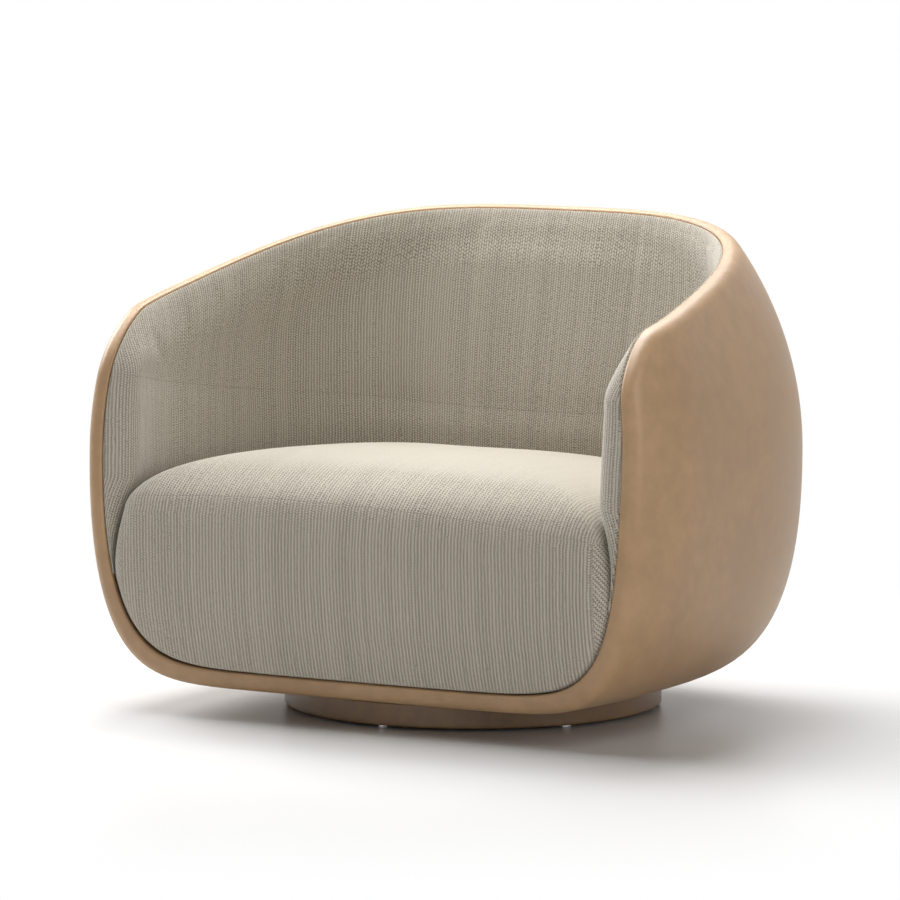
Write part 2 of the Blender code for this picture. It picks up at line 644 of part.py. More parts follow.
def make_seat_frame(parent):
    """Board on two bearers on the shell's floor, four rails on it and a block in each corner."""
    wide, front, back = FRAME_HALF_WIDTH, FRAME_FRONT, FRAME_BACK
    reach = (BEARER_SPACING + BEARER_WIDTH) / 2
    ends = front + BEARER_SETBACK, front + BEARER_SETBACK + BEARER_LENGTH
    low = max(floor_height(reach, end) for end in ends) + GAP + BEARER_BED
    for name, side in (("left", -1), ("right", 1)):
        near, far = sorted((side * reach, side * (reach - BEARER_WIDTH)))
        corners = (near, ends[0], low), (far, ends[1], BOARD_BOTTOM - GAP)
        box(f"{name}_bearer", *corners, WOOD, parent)
    board_top = BOARD_BOTTOM + BOARD_THICKNESS
    box("seat_board", (-wide, front, BOARD_BOTTOM), (wide, back, board_top), WOOD, parent)
    low, high = RAIL_BOTTOM, RAIL_TOP
    inner = wide - RAIL_THICKNESS
    box("front_rail", (-wide, front, low), (wide, front + RAIL_THICKNESS, high), WOOD, parent)
    box("back_rail", (-wide, back - RAIL_THICKNESS, low), (wide, back, high), WOOD, parent)
    between = (front + RAIL_THICKNESS + GAP, back - RAIL_THICKNESS - GAP)
    for name, side in (("left", -1), ("right", 1)):
        near, far = sorted((side * inner, side * wide))
        box(f"{name}_rail", (near, between[0], low), (far, between[1], high), WOOD, parent)
        near, far = sorted((side * (inner - GAP - BLOCK_SIZE), side * (inner - GAP)))
        for end, start in (("front", between[0]), ("back", between[1] - BLOCK_SIZE)):
            corners = (near, start, low), (far, start + BLOCK_SIZE, high - BLOCK_SIZE / 4)
            box(f"{end}_{name}_block", *corners, WOOD, parent)


def make_webbing(parent):
    """Elastic straps over the rails: the long ones from front to back, the cross ones above them."""
    wide, front, back = FRAME_HALF_WIDTH, FRAME_FRONT, FRAME_BACK
    low = RAIL_TOP + GAP
    for number in range(LONG_STRAPS):
        x = wide * (2 * (number + 0.5) / LONG_STRAPS - 1)
        corners = (x - STRAP_WIDTH / 2, front, low), (x + STRAP_WIDTH / 2, back, low + STRAP_THICKNESS)
        box(f"long_strap_{number + 1}", *corners, WEBBING, parent, edge=0)
    low = CROSS_STRAP_BOTTOM
    for number in range(CROSS_STRAPS):
        y = front + (back - front) * (number + 0.5) / CROSS_STRAPS
        corners = (-wide, y - STRAP_WIDTH / 2, low), (wide, y + STRAP_WIDTH / 2, low + STRAP_THICKNESS)
        box(f"cross_strap_{number + 1}", *corners, WEBBING, parent, edge=0)


def make_plinth(parent):
    """Leather wrap folded round a drum, and the board let into the drum."""
    low, high = GLIDE_HEIGHT, GLIDE_HEIGHT + PLINTH_HEIGHT
    radius, fold, skin, edge = PLINTH_RADIUS, WRAP_FOLD, WRAP_THICKNESS, PLINTH_EDGE_ROUND
    profile = [(radius - fold, high)]
    profile += corner_arc((radius - edge, high - edge), edge, 90, 0)
    profile += corner_arc((radius - edge, low + edge), edge, 0, -90)
    profile += [(radius - fold, low), (radius - fold, low + skin), (radius - skin, low + skin)]
    profile += [(radius - skin, high - skin), (radius - fold, high - skin)]
    smooth(turned("plinth_wrap", profile, DARK_LEATHER, parent, closed=True))
    outer = radius - skin - GAP
    inner = outer - PLINTH_WALL
    top, bottom = high - skin - GAP, low + skin + GAP
    profile = [(inner, top), (outer, top), (outer, bottom), (inner, bottom)]
    smooth(turned("plinth_drum", profile, WOOD, parent, closed=True))
    top = PLINTH_BOARD_TOP
    bottom = top - PLINTH_BOARD_THICKNESS
    rim = inner - GAP
    profile = [(0, top), (rim, top), (rim, bottom), (0, bottom)]
    board = turned("plinth_board", profile, WOOD, parent)
    cut_screw_holes(board, LOWER_PLATE_WIDTH, (top + bottom) / 2, 2 * PLINTH_BOARD_THICKNESS)
    smooth(board)


def make_glides(parent):
    """Steel glides evenly spaced under the drum, the first one at the front."""
    high = GLIDE_HEIGHT - GAP
    for number in range(GLIDE_COUNT):
        angle = 2 * math.pi * number / GLIDE_COUNT - math.pi / 2
        rim = 0.8 * GLIDE_RADIUS
        profile = [(0, high), (GLIDE_RADIUS, high), (GLIDE_RADIUS, high / 2), (rim, 0), (0, 0)]
        glide = turned(f"glide_{number + 1}", profile, BRIGHT_STEEL, parent, steps=12)
        away = PLINTH_RADIUS - GLIDE_INSET
        glide.location = (away * math.cos(angle), away * math.sin(angle), 0)
        smooth(glide)


def screw_places(width):
    """The four corners at which a square swivel plate is screwed down."""
    out = width / 2 - SCREW_INSET
    return [(out, out), (-out, out), (-out, -out), (out, -out)]


def cut_screw_holes(obj, width, height, length):
    for number, (x, y) in enumerate(screw_places(width)):
        name = f"{obj.name}_hole_{number + 1}"
        radius = SCREW_RADIUS + HOLE_CLEARANCE
        cut(obj, cylinder_cutter(name, radius, (x, y, height), length, 8))


def make_plate(name, width, bottom, parent):
    """Square swivel plate with rounded corners, screw holes and a ball race."""
    bm = bmesh.new()
    bmesh.ops.create_cube(bm, size=1.0)
    bmesh.ops.scale(bm, vec=(width, width, PLATE_THICKNESS), verts=bm.verts)
    upright = [edge for edge in bm.edges if abs(edge.verts[0].co.z - edge.verts[1].co.z) > 1e-6]
    bmesh.ops.bevel(bm, geom=upright, offset=PLATE_CORNER_ROUND, segments=4, affect="EDGES", profile=0.5)
    middle = bottom + PLATE_THICKNESS / 2
    bmesh.ops.translate(bm, vec=(0, 0, middle), verts=bm.verts)
    plate = add_object(name, bm, STEEL, parent)
    cut_screw_holes(plate, width, middle, 4 * PLATE_THICKNESS)
    bpy.ops.mesh.primitive_torus_add(
        major_radius=RACE_RADIUS,
        minor_radius=BALL_RADIUS + GAP,
        major_segments=36,
        minor_segments=12,
        location=(0, 0, BALL_HEIGHT),
    )
    race = bpy.context.object
    race.name = f"{name}_race"
    cut(plate, as_cutter(race))
    smooth(plate)


def make_screws(prefix, width, face, up, parent):
    """Four pan-head screws in a plate's corners, with their heads on the side of the balls."""
    head, shank = SCREW_HEAD_RADIUS, SCREW_RADIUS
    profile = [(0, SCREW_HEAD_HEIGHT), (0.7 * head, SCREW_HEAD_HEIGHT), (head, SCREW_HEAD_HEIGHT / 2)]
    profile += [(head, 0), (shank, 0), (shank, shank - SCREW_LENGTH), (0, -SCREW_LENGTH)]
    for number, (x, y) in enumerate(screw_places(width)):
        screw = turned(f"{prefix}_screw_{number + 1}", profile, BRIGHT_STEEL, parent, steps=8)
        screw.location = (x, y, face + (GAP if up else -GAP))
        screw.rotation_euler = (0 if up else math.pi, 0, 0)
        smooth(screw)


def make_saddle_block(parent):
    """Round block between the upper swivel plate and the underside of the moulded shell."""
    top, bottom = SADDLE_TOP, SADDLE_BOTTOM
    profile = [(0, top), (SADDLE_RADIUS, top), (SADDLE_RADIUS, bottom), (0, bottom)]
    block = turned("saddle_block", profile, WOOD, parent)
    cut_screw_holes(block, UPPER_PLATE_WIDTH, bottom, 2 * SCREW_LENGTH)
    smooth(block)


def make_ball_cage(parent):
    """Flat ring with a hole for each ball, and the balls in it."""
    inner, outer = RACE_RADIUS - CAGE_WIDTH / 2, RACE_RADIUS + CAGE_WIDTH / 2
    top, bottom = BALL_HEIGHT + CAGE_THICKNESS / 2, BALL_HEIGHT - CAGE_THICKNESS / 2
    profile = [(inner, top), (outer, top), (outer, bottom), (inner, bottom)]
    cage = turned("ball_cage", profile, CAGE_PLASTIC, parent, steps=36, closed=True)
    for number in range(BALL_COUNT):
        angle = 2 * math.pi * number / BALL_COUNT
        centre = (RACE_RADIUS * math.cos(angle), RACE_RADIUS * math.sin(angle), BALL_HEIGHT)
        radius = BALL_RADIUS + HOLE_CLEARANCE
        cut(cage, cylinder_cutter(f"ball_hole_{number + 1}", radius, centre, 4 * CAGE_THICKNESS, 8))
        bm = bmesh.new()
        bmesh.ops.create_uvsphere(bm, u_segments=8, v_segments=6, radius=BALL_RADIUS)
        ball = add_object(f"ball_{number + 1}", bm, BRIGHT_STEEL, parent)
        ball.location = centre
        smooth(ball, 80)
    smooth(cage)


def add_axis(name):
    """Empty on the swivel axis that carries what turns together."""
    empty = bpy.data.objects.new(name, None)
    CHAIR.objects.link(empty)
    return empty


def build():
    base, cage, seat = add_axis("base_axis"), add_axis("cage_axis"), add_axis("seat_axis")
    make_plinth(base)
    make_glides(base)
    make_plate("swivel_lower_plate", LOWER_PLATE_WIDTH, LOWER_PLATE_BOTTOM, base)
    make_screws("lower", LOWER_PLATE_WIDTH, LOWER_PLATE_TOP, True, base)
    make_ball_cage(cage)
    make_plate("swivel_upper_plate", UPPER_PLATE_WIDTH, UPPER_PLATE_BOTTOM, seat)
    make_screws("upper", UPPER_PLATE_WIDTH, UPPER_PLATE_BOTTOM, False, seat)
    make_saddle_block(seat)
    make_leather_cover(seat)
    make_moulded_shell(seat)
    make_seat_frame(seat)
    make_webbing(seat)
    make_pad(seat)
    make_seat_cushion(seat)


clear_scene()
CHAIR = make_collection("swivel_lounge_chair")
CUTTERS = make_collection("cutters")
build()
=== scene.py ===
"""Dresses the swivel lounge chair: leather shell, woven pad and seat, leather-wrapped plinth.

Metres, +Z up, front facing -Y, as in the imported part. The shapes follow the part's named sizes, a few
of them moved by millimetres for the look of soft goods.
"""

import json
import math

import bmesh
import bpy
import numpy as np
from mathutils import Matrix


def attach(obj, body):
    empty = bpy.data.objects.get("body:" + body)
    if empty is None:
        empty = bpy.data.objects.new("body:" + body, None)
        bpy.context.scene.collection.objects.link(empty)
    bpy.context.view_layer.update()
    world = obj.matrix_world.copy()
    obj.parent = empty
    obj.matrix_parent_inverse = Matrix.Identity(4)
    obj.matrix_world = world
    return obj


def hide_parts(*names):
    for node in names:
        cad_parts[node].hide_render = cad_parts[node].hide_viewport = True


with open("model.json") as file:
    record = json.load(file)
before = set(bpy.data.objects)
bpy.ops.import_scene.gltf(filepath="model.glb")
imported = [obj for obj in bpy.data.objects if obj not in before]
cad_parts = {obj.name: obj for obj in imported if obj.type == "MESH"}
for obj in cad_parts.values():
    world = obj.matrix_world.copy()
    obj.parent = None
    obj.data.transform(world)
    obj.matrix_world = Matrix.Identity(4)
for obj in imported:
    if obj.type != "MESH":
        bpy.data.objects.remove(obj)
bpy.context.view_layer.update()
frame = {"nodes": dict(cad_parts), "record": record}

# Outer shell
SHELL_HALF_WIDTH = 0.507
SHELL_BACK_REACH = 0.375
SHELL_FRONT_REACH = 0.343
SHELL_WIDEST_HEIGHT = 0.400
SHELL_FLOOR = 0.0475
SECTION_CENTRE = -0.165
ARM_TAPER_LENGTH = 0.520
SIDE_TUCK_HEIGHT = 0.520
BACK_TUCK_HEIGHT = 0.680
BACK_SQUARENESS = 3.4
BELLY_SHARPNESS = 2.33
BELLY_FULLNESS = 8.3
ARM_HEIGHT = 0.600
ARM_CORNER_RADIUS = 0.124
ARM_FRONT_LEAN = 0.010
ARM_FRONT_BOW = 0.022
TOP_LINE_HEIGHT = 0.773
TOP_LINE_SAG = 0.008
COVER_THICKNESS = 0.008
SHELL_THICKNESS = 0.0283
RIM_DEPTH = 0.030
RIM_ROUND = 0.014
RIM_INNER_ROUND = 0.006
RIM_CROWN_SHARES = (0.60, 0.70)
SADDLE_HOLE_RADIUS = 0.1565
SHELL_STATIONS, SHELL_BELLY_ROWS, SHELL_UPPER_ROWS = 120, 56, 33

# Arm-and-back pad
PAD_GAP = 0.0003
PAD_BASE = SHELL_THICKNESS + PAD_GAP
PAD_ARM_THICKNESS = 0.055
PAD_BACK_THICKNESS = 0.150
PAD_RECLINE = 0.170
PAD_LEAST_THICKNESS = 0.043
PAD_LEAST_BLEND = 0.012
PAD_TAIL_THICKNESS = 0.0012
PAD_TAIL_HEIGHT = 0.212
PAD_TAIL_SWEEP = 1.35
PAD_FULL_HEIGHT = 0.362
PAD_FULL_HEIGHT_BEHIND = 0.288
PAD_SETBACK = 0.002
PAD_EDGE_THICKNESS = 0.0025
PAD_EDGE_ROUND = 0.002
PAD_FRONT_ROLL = 0.032
PAD_TOP_ROLL = 0.090
PAD_BACK_ROLL = 0.095
PAD_BACK_ROLL_STATION = 0.6
PAD_NOSE_POWER = 0.5
PAD_TOP_POWER = 0.85
PAD_EVEN_TOP = 0.36
PAD_LOWER_ROWS, PAD_UPPER_ROWS = 16, 44
PAD_SEAM_HEIGHT = 0.433
PAD_SEAM_RISE = 0.078
PAD_SEAM_SPACING = 0.195

# Seat
SEAT_BOTTOM = 0.0768
SEAT_SHOULDER_HEIGHT = 0.300
SEAT_CROWN_HEIGHT = 0.403
SEAT_DOME_POWER = 2.9
SEAT_FALL = 0.062
SEAT_SIDE_RISE = -0.026
SEAT_FRONT_SETBACK = 0.001
SEAT_FRONT_BULGE = 0.014
SEAT_FRONT_CURVE = 0.012
SEAT_CLEARANCE = 0.0009
SEAT_CORNER_SHARPNESS = 38.0
SEAT_CENTRE = -0.085
SEAT_SEAM_WIDTH = 0.405
SEAT_SEAM_HEIGHT = 0.028
SEAT_SEAM_BEND = 0.21
SEAT_SEAM_LEAN = 0.032
SEAT_CORNER_SINE = 0.62
SEAT_SPACING_HEIGHT = 0.293
SEAT_DOME_REACH = 0.36
SEAT_HOLLOW_LOW, SEAT_HOLLOW_HIGH = (-0.2932, -0.258), (0.2932, 0.1682)
SEAT_HOLLOW_ROOF = 0.2123
SEAT_FRONT_CELLS, SEAT_SIDE_CELLS, SEAT_WALL_ROWS = 92, 84, 34
SEAT_ROW_POWER = 1.9

# Plinth
PLINTH_RADIUS = 0.290
PLINTH_LOW = 0.005
PLINTH_HIGH = 0.041
PLINTH_EDGE_ROUND = 0.003
WRAP_FOLD = 0.019
WRAP_THICKNESS = 0.002
PLINTH_STEPS = 180

# Cloth
SEAM_DENT = 0.022
CLOTH_FRAMES = 20
RIB_PITCH, WEFT_PITCH = 0.0056, 0.0040
YARN_LIGHT, YARN_DARK = (0.56, 0.51, 0.42), (0.125, 0.105, 0.078)
# The seams' colour is painted shade: a dark tone laid along them for the shadow in their grooves.
YARN_FADED, SEAM_PAINTED_SHADE = (0.42, 0.38, 0.31), (0.20, 0.175, 0.14)

# Light of the world on the chair
AMBIENT = 0.02


def front_line(height, depth=0.0):
    """Y of the arm's front edge: a straight lean, bowed forward by a parabola, moved back by depth."""
    tall = ARM_HEIGHT - SHELL_FLOOR
    share = (height - SHELL_FLOOR) / tall
    slope = (ARM_FRONT_LEAN - 4 * ARM_FRONT_BOW * (1 - 2 * share)) / tall
    line = -SHELL_FRONT_REACH + ARM_FRONT_LEAN * share - 4 * ARM_FRONT_BOW * share * (1 - share)
    return line + depth * np.sqrt(1 + slope**2)


def top_line(y, depth=0.0):
    """Height of the top edge: a rising line, sagged by a parabola, lowered by depth."""
    run = SHELL_FRONT_REACH + SHELL_BACK_REACH
    share = (y + SHELL_FRONT_REACH) / run
    slope = (TOP_LINE_HEIGHT - ARM_HEIGHT - 4 * TOP_LINE_SAG * (1 - 2 * share)) / run
    line = ARM_HEIGHT + (TOP_LINE_HEIGHT - ARM_HEIGHT) * share - 4 * TOP_LINE_SAG * share * (1 - share)
    return line - depth * np.sqrt(1 + slope**2)


def slope_of(line, place):
    """Slope of a line at a place, from the rise over a small step."""
    step = 1e-5
    return (line(place + step) - line(place - step)) / (2 * step)


def arm_corner():
    """Centre of the circle that touches the front line and the top line, and the slope of each there."""
    meets_front = ARM_HEIGHT - ARM_CORNER_RADIUS
    meets_top = ARM_CORNER_RADIUS - SHELL_FRONT_REACH
    for _ in range(40):
        lean, rise = slope_of(front_line, meets_front), slope_of(top_line, meets_top)
        out_front, out_top = math.hypot(1, lean), math.hypot(1, rise)
        centre_y = front_line(meets_front) + ARM_CORNER_RADIUS / out_front
        centre_z = top_line(meets_top) - ARM_CORNER_RADIUS / out_top
        meets_top = centre_y - ARM_CORNER_RADIUS * rise / out_top
        meets_front = centre_z + ARM_CORNER_RADIUS * lean / out_front
    return centre_y, centre_z, lean / out_front, rise / out_top


CORNER_Y, CORNER_Z, CORNER_LEAN, CORNER_RISE = arm_corner()


def section(height, inset):
    """Half width and back reach of a level cut: a full belly below the widest height, an ellipse above."""
    drop = SHELL_WIDEST_HEIGHT - SHELL_FLOOR - inset
    fall = np.round(np.clip((SHELL_WIDEST_HEIGHT - height) / drop, 0, 1), 9)
    belly = (1 - fall**BELLY_SHARPNESS) ** (1 / BELLY_FULLNESS)
    climb = np.maximum(height - SHELL_WIDEST_HEIGHT, 0)
    side = np.where(climb > 0, np.sqrt(np.clip(1 - (climb / SIDE_TUCK_HEIGHT) ** 2, 0.01, 1)), belly)
    back = np.where(climb > 0, np.sqrt(np.clip(1 - (climb / BACK_TUCK_HEIGHT) ** 2, 0.01, 1)), belly)
    reach = SHELL_BACK_REACH - SECTION_CENTRE - inset
    return (SHELL_HALF_WIDTH - inset) * side, reach * back


def wall_point(station, height, inset, depth=0.0):
    """Point of the shell's wall: x and y of a level cut that is a squared ellipse behind, tapered in front.

    Station 0 is the arm's front edge, 1 the section's centre, 2 the middle of the back.
    """
    station, height, inset = np.broadcast_arrays(
        np.asarray(station, float), np.asarray(height, float), np.asarray(inset, float)
    )
    half, reach = section(height, inset)
    forward = np.clip(1 - station, 0, 1) * (SECTION_CENTRE - front_line(height, depth))
    turn = np.clip(station - 1, 0, 1) * math.pi / 2
    taper = np.sqrt(np.clip(1 - (forward / ARM_TAPER_LENGTH) ** 2, 0.01, 1))
    across = np.where(station >= 2, 0, np.abs(np.cos(turn)) ** (2 / BACK_SQUARENESS))
    x = half * taper * across
    y = SECTION_CENTRE - forward + reach * np.sin(turn) ** (2 / BACK_SQUARENESS)
    return np.stack([x, y, height], axis=-1)


def round_corner(station, points, depth):
    """Station and height of points after the arm's sharp corner is rounded.

    u and v are the shares of the way to the front line and the top line. They go from a square to
    a disc: u' = u sqrt(1 - v^2 / 2), v' = v sqrt(1 - u^2 / 2).
    """
    y, z = points[..., 1], points[..., 2]
    radius = ARM_CORNER_RADIUS - depth
    low, back = CORNER_Z + radius * CORNER_LEAN, CORNER_Y - radius * CORNER_RISE
    u = np.clip((back - y) / (back - front_line(z, depth)), 0, 1)
    v = np.clip((z - low) / (top_line(y, depth) - low), 0, 1)
    new_u, new_v = u * np.sqrt(1 - v * v / 2), v * np.sqrt(1 - u * u / 2)
    new_y, new_z = y, z
    for _ in range(6):
        new_y = back - new_u * (back - front_line(new_z, depth))
        new_z = low + new_v * (top_line(new_y, depth) - low)
    turned = (u > 0) & (v > 0)
    moved = 1 - (SECTION_CENTRE - new_y) / (SECTION_CENTRE - front_line(new_z, depth))
    station = np.broadcast_to(station, y.shape)
    return np.where(turned, moved, station), np.where(turned, new_z, z)


def even_inset(inset):
    """An inset that is the same everywhere, as a function of station and height."""
    return lambda station, height: np.full(np.shape(station + height), inset)


def sharp_layer(stations, levels, shares, inset, depth):
    """Marks and heights of a layer before its corner is rounded.

    Level rows come first, then shares of the way from the last level to the outline, whose height is
    found by halving. inset is a function of station and height.
    """
    low = np.full(stations.shape, levels[-1])
    high = np.full(stations.shape, TOP_LINE_HEIGHT + 0.05)
    for _ in range(40):
        middle = (low + high) / 2
        wall = wall_point(stations, middle, inset(stations, middle), depth)
        under = top_line(wall[:, 1], depth) > middle
        low, high = np.where(under, middle, low), np.where(under, high, middle)
    walls = levels[-1] + shares * (low[:, None] - levels[-1])
    heights = np.concatenate([np.tile(levels, (len(stations), 1)), walls], axis=1)
    return np.broadcast_to(stations[:, None], heights.shape), heights


def layer(stations, levels, shares, inset, depth):
    """Half grid of a layer with its rounded corner: its points, their stations and their heights."""
    marks, heights = sharp_layer(stations, levels, shares, inset, depth)
    sharp = wall_point(marks, heights, inset(marks, heights), depth)
    marks, heights = round_corner(marks, sharp, depth)
    return wall_point(marks, heights, inset(marks, heights), depth), marks, heights


def both_sides(half):
    """The whole grid from its right half: left front, round the back, right front."""
    left = half * np.array([-1, 1, 1]) if half.shape[-1] == 3 else half * np.array([-1, 1])
    return np.concatenate([left, half[::-1][1:]])


def rim_loop(half):
    """The open edge of a half grid: up its front column, then along its last row to the back."""
    return np.concatenate([half[0], half[1:, -1]])


def lengths(points):
    """Length travelled along a row of points."""
    return np.concatenate([[0], np.cumsum(np.linalg.norm(np.diff(points, axis=0), axis=1))])


def evenly(path, marks, count):
    """Marks that divide a path evenly, from the marks of its points."""
    travelled = lengths(path)
    return np.interp(np.linspace(0, travelled[-1], count + 1), travelled, marks)


def even_stations(count, height=0.45):
    """Stations evenly spaced along the wall's level cut."""
    fine = np.concatenate([np.linspace(0, 1, 300), 1.5 - 0.5 * np.cos(np.linspace(0.01, math.pi, 900))])
    return evenly(wall_point(fine, height, 0.0), fine, count)


def belly_levels(count, inset, top=0.36):
    """Heights evenly spaced round the belly's cut, from the centre line up."""
    lowest = SHELL_FLOOR + inset
    angle = math.pi / 2 * np.linspace(0, 1, 600) ** 3
    last = (SHELL_WIDEST_HEIGHT - top) / (SHELL_WIDEST_HEIGHT - lowest)
    fall = np.maximum(np.cos(angle) ** (2 / BELLY_SHARPNESS), last)
    heights = SHELL_WIDEST_HEIGHT - (SHELL_WIDEST_HEIGHT - SHELL_FLOOR) * fall
    fall = evenly(wall_point(1.0, heights, 0.0), fall, count)
    return SHELL_WIDEST_HEIGHT - (SHELL_WIDEST_HEIGHT - lowest) * fall


def make_piece(name, sheets, cloth=None):
    """Welds sheets of points into one closed mesh whose faces point out.

    cloth gives each sheet's weave coordinates and how far its points may swell.
    """
    points = np.concatenate([sheet.reshape(-1, 3) for sheet in sheets])
    faces, start = [], 0
    for sheet in sheets:
        number = start + np.arange(sheet.shape[0] * sheet.shape[1]).reshape(sheet.shape[:2])
        corners = [number[:-1, :-1], number[:-1, 1:], number[1:, 1:], number[1:, :-1]]
        faces.append(np.stack(corners, axis=-1).reshape(-1, 4))
        start += number.size
    faces = np.concatenate(faces)
    mesh = bpy.data.meshes.new(name)
    mesh.from_pydata(points.tolist(), [], faces.tolist())
    if cloth:
        weave = np.concatenate([uv.reshape(-1, 2) for uv, _ in cloth])
        give = np.concatenate([np.broadcast_to(give, uv.shape[:2]).ravel() for uv, give in cloth])
        layer_data = mesh.uv_layers.new(name="weave").data
        layer_data.foreach_set("uv", weave[faces.ravel()].astype(np.float32).ravel())
        mesh.attributes.new("give", "FLOAT", "POINT").data.foreach_set("value", give.astype(np.float32))
    bm = bmesh.new()
    bm.from_mesh(mesh)
    bmesh.ops.remove_doubles(bm, verts=bm.verts, dist=2e-6)
    bmesh.ops.dissolve_degenerate(bm, edges=bm.edges, dist=1e-6)
    bmesh.ops.recalc_face_normals(bm, faces=bm.faces)
    if bm.calc_volume(signed=True) < 0:
        bmesh.ops.reverse_faces(bm, faces=bm.faces)
    bm.to_mesh(mesh)
    bm.free()
    mesh.shade_smooth()
    piece = bpy.data.objects.new(name, mesh)
    bpy.context.scene.collection.objects.link(piece)
    return piece


def quarter(count, radius=1.0):
    """A quarter circle's two coordinates, from (0, radius) to (radius, 0)."""
    angle = np.linspace(0, math.pi / 2, count + 1)
    return radius * (1 - np.cos(angle)), radius * (1 - np.sin(angle))


# Leather shell


def make_leather_shell():
    """Leather over the whole shell with its rounded rim: outer layer, rim profile, lip and lining."""
    stations = even_stations(SHELL_STATIONS)
    shares = np.linspace(0, 1, SHELL_UPPER_ROWS + 1)[1:]

    def cover_layer(inset, depth):
        """Points of a layer of the shell at one distance inside its outer face."""
        return layer(stations, belly_levels(SHELL_BELLY_ROWS, inset), shares, even_inset(inset), depth)[0]

    rim = list(zip(*quarter(7, RIM_ROUND)))
    across, deep = quarter(4, RIM_INNER_ROUND)
    rim += [(SHELL_THICKNESS * share, 0.0) for share in RIM_CROWN_SHARES]
    rim += list(zip((SHELL_THICKNESS - deep).tolist(), across.tolist()))
    rim += [(SHELL_THICKNESS, RIM_DEPTH / 2), (SHELL_THICKNESS, RIM_DEPTH), (COVER_THICKNESS, RIM_DEPTH)]
    outer = cover_layer(0.0, RIM_ROUND)
    lining = cover_layer(COVER_THICKNESS, RIM_DEPTH)
    loops = np.stack([both_sides(rim_loop(cover_layer(inset, depth))) for inset, depth in rim])
    shell = make_piece("leather_shell", [both_sides(outer), loops, both_sides(lining)])
    bpy.ops.mesh.primitive_cylinder_add(
        vertices=96, radius=SADDLE_HOLE_RADIUS, depth=4 * COVER_THICKNESS, location=(0, 0, SHELL_FLOOR)
    )
    cutter = bpy.context.object
    hole = shell.modifiers.new("saddle_hole", "BOOLEAN")
    hole.operation, hole.solver, hole.object = "DIFFERENCE", "EXACT", cutter
    settle(shell)
    bpy.data.objects.remove(cutter)
    return shell


def settle(piece):
    """Applies a piece's modifiers to its mesh."""
    graph = bpy.context.evaluated_depsgraph_get()
    graph.update()
    done = bpy.data.meshes.new_from_object(piece.evaluated_get(graph), depsgraph=graph)
    piece.modifiers.clear()
    piece.data = done


# Arm-and-back pad


def ease(share):
    """Smooth step: 3 s^2 - 2 s^3."""
    share = np.clip(share, 0, 1)
    return share * share * (3 - 2 * share)


def pad_thickness(station, height):
    """Full beside the seat's edge and above it, thinner where the shell draws in, with a thin swept tail.

    The arms' faces stay upright and the back's reclines; a root of squares keeps the least thickness.
    """
    behind = ease(station - 1)
    climb = np.maximum(height - SHELL_WIDEST_HEIGHT, 0)
    half, reach = section(SHELL_WIDEST_HEIGHT + climb, 0.0)
    drawn_side, drawn_back = SHELL_HALF_WIDTH - half, SHELL_BACK_REACH - SECTION_CENTRE - reach
    full = PAD_ARM_THICKNESS + (PAD_BACK_THICKNESS - PAD_ARM_THICKNESS) * behind
    full = full - drawn_side * (1 - behind) - (drawn_back + PAD_RECLINE * climb) * behind
    spare = full - PAD_LEAST_THICKNESS
    full = PAD_LEAST_THICKNESS + (spare + np.sqrt(spare**2 + PAD_LEAST_BLEND**2)) / 2
    full_height = PAD_FULL_HEIGHT + (PAD_FULL_HEIGHT_BEHIND - PAD_FULL_HEIGHT) * behind
    rise = np.clip((height - PAD_TAIL_HEIGHT) / (full_height - PAD_TAIL_HEIGHT), 0, 1)
    sweep = PAD_TAIL_SWEEP + (1 - PAD_TAIL_SWEEP) * behind
    return PAD_TAIL_THICKNESS + (full - PAD_TAIL_THICKNESS) * rise**sweep


def clustered_stations(height=0.45, fine_length=0.06, fine_count=20, count=92):
    """Stations along the wall: closer together over the first stretch behind the arm's front edge."""
    marks = np.concatenate([np.linspace(0, 1, 600), 1.5 - 0.5 * np.cos(np.linspace(0.01, math.pi, 1200))])
    travelled = lengths(wall_point(marks, height, PAD_BASE))
    wanted = np.concatenate(
        [
            fine_length * np.linspace(0, 1, fine_count + 1)[:-1] ** 1.5,
            np.linspace(fine_length, travelled[-1], count + 1),
        ]
    )
    return np.interp(wanted, travelled, marks), travelled[-1] - wanted


def outline_place(points, depth):
    """How far points of the wall lie inside the arm's outline, and the way out: forward and up shares.

    With u and v as in round_corner after its rounding, r = root of u^2 + v^2 and the way out at the
    angle of (u, v), the distance is (1 - r) times the corner's width and height blended by that angle.
    """
    y, z = points[..., 1], points[..., 2]
    radius = ARM_CORNER_RADIUS - depth
    low, back = CORNER_Z + radius * CORNER_LEAN, CORNER_Y - radius * CORNER_RISE
    width, tall = back - front_line(z, depth), top_line(y, depth) - low
    u, v = np.clip((back - y) / width, 0, 1), np.clip((z - low) / tall, 0, 1)
    u, v = u * np.sqrt(1 - v * v / 2), v * np.sqrt(1 - u * u / 2)
    r = np.maximum(np.hypot(u, v), 1e-6)
    forward, up = u / r, v / r
    distance = (1 - r) * (width * forward**2 + tall * up**2)
    return np.where(r > 1e-5, np.maximum(distance, 0), 1.0), forward, up


def pad_tuck():
    """Thickness and depth of the loops round the pad's edge: a quarter turn, then down."""
    turns = np.linspace(0, math.pi / 2, 5)[1:]
    thickness = PAD_EDGE_THICKNESS - PAD_EDGE_ROUND * (1 - np.cos(turns))
    depth = PAD_SETBACK + 0.6 * PAD_EDGE_ROUND * np.sin(turns)
    return [*zip(thickness, depth), (0.0, PAD_EDGE_ROUND + PAD_SETBACK), (0.0, RIM_DEPTH + PAD_GAP)]


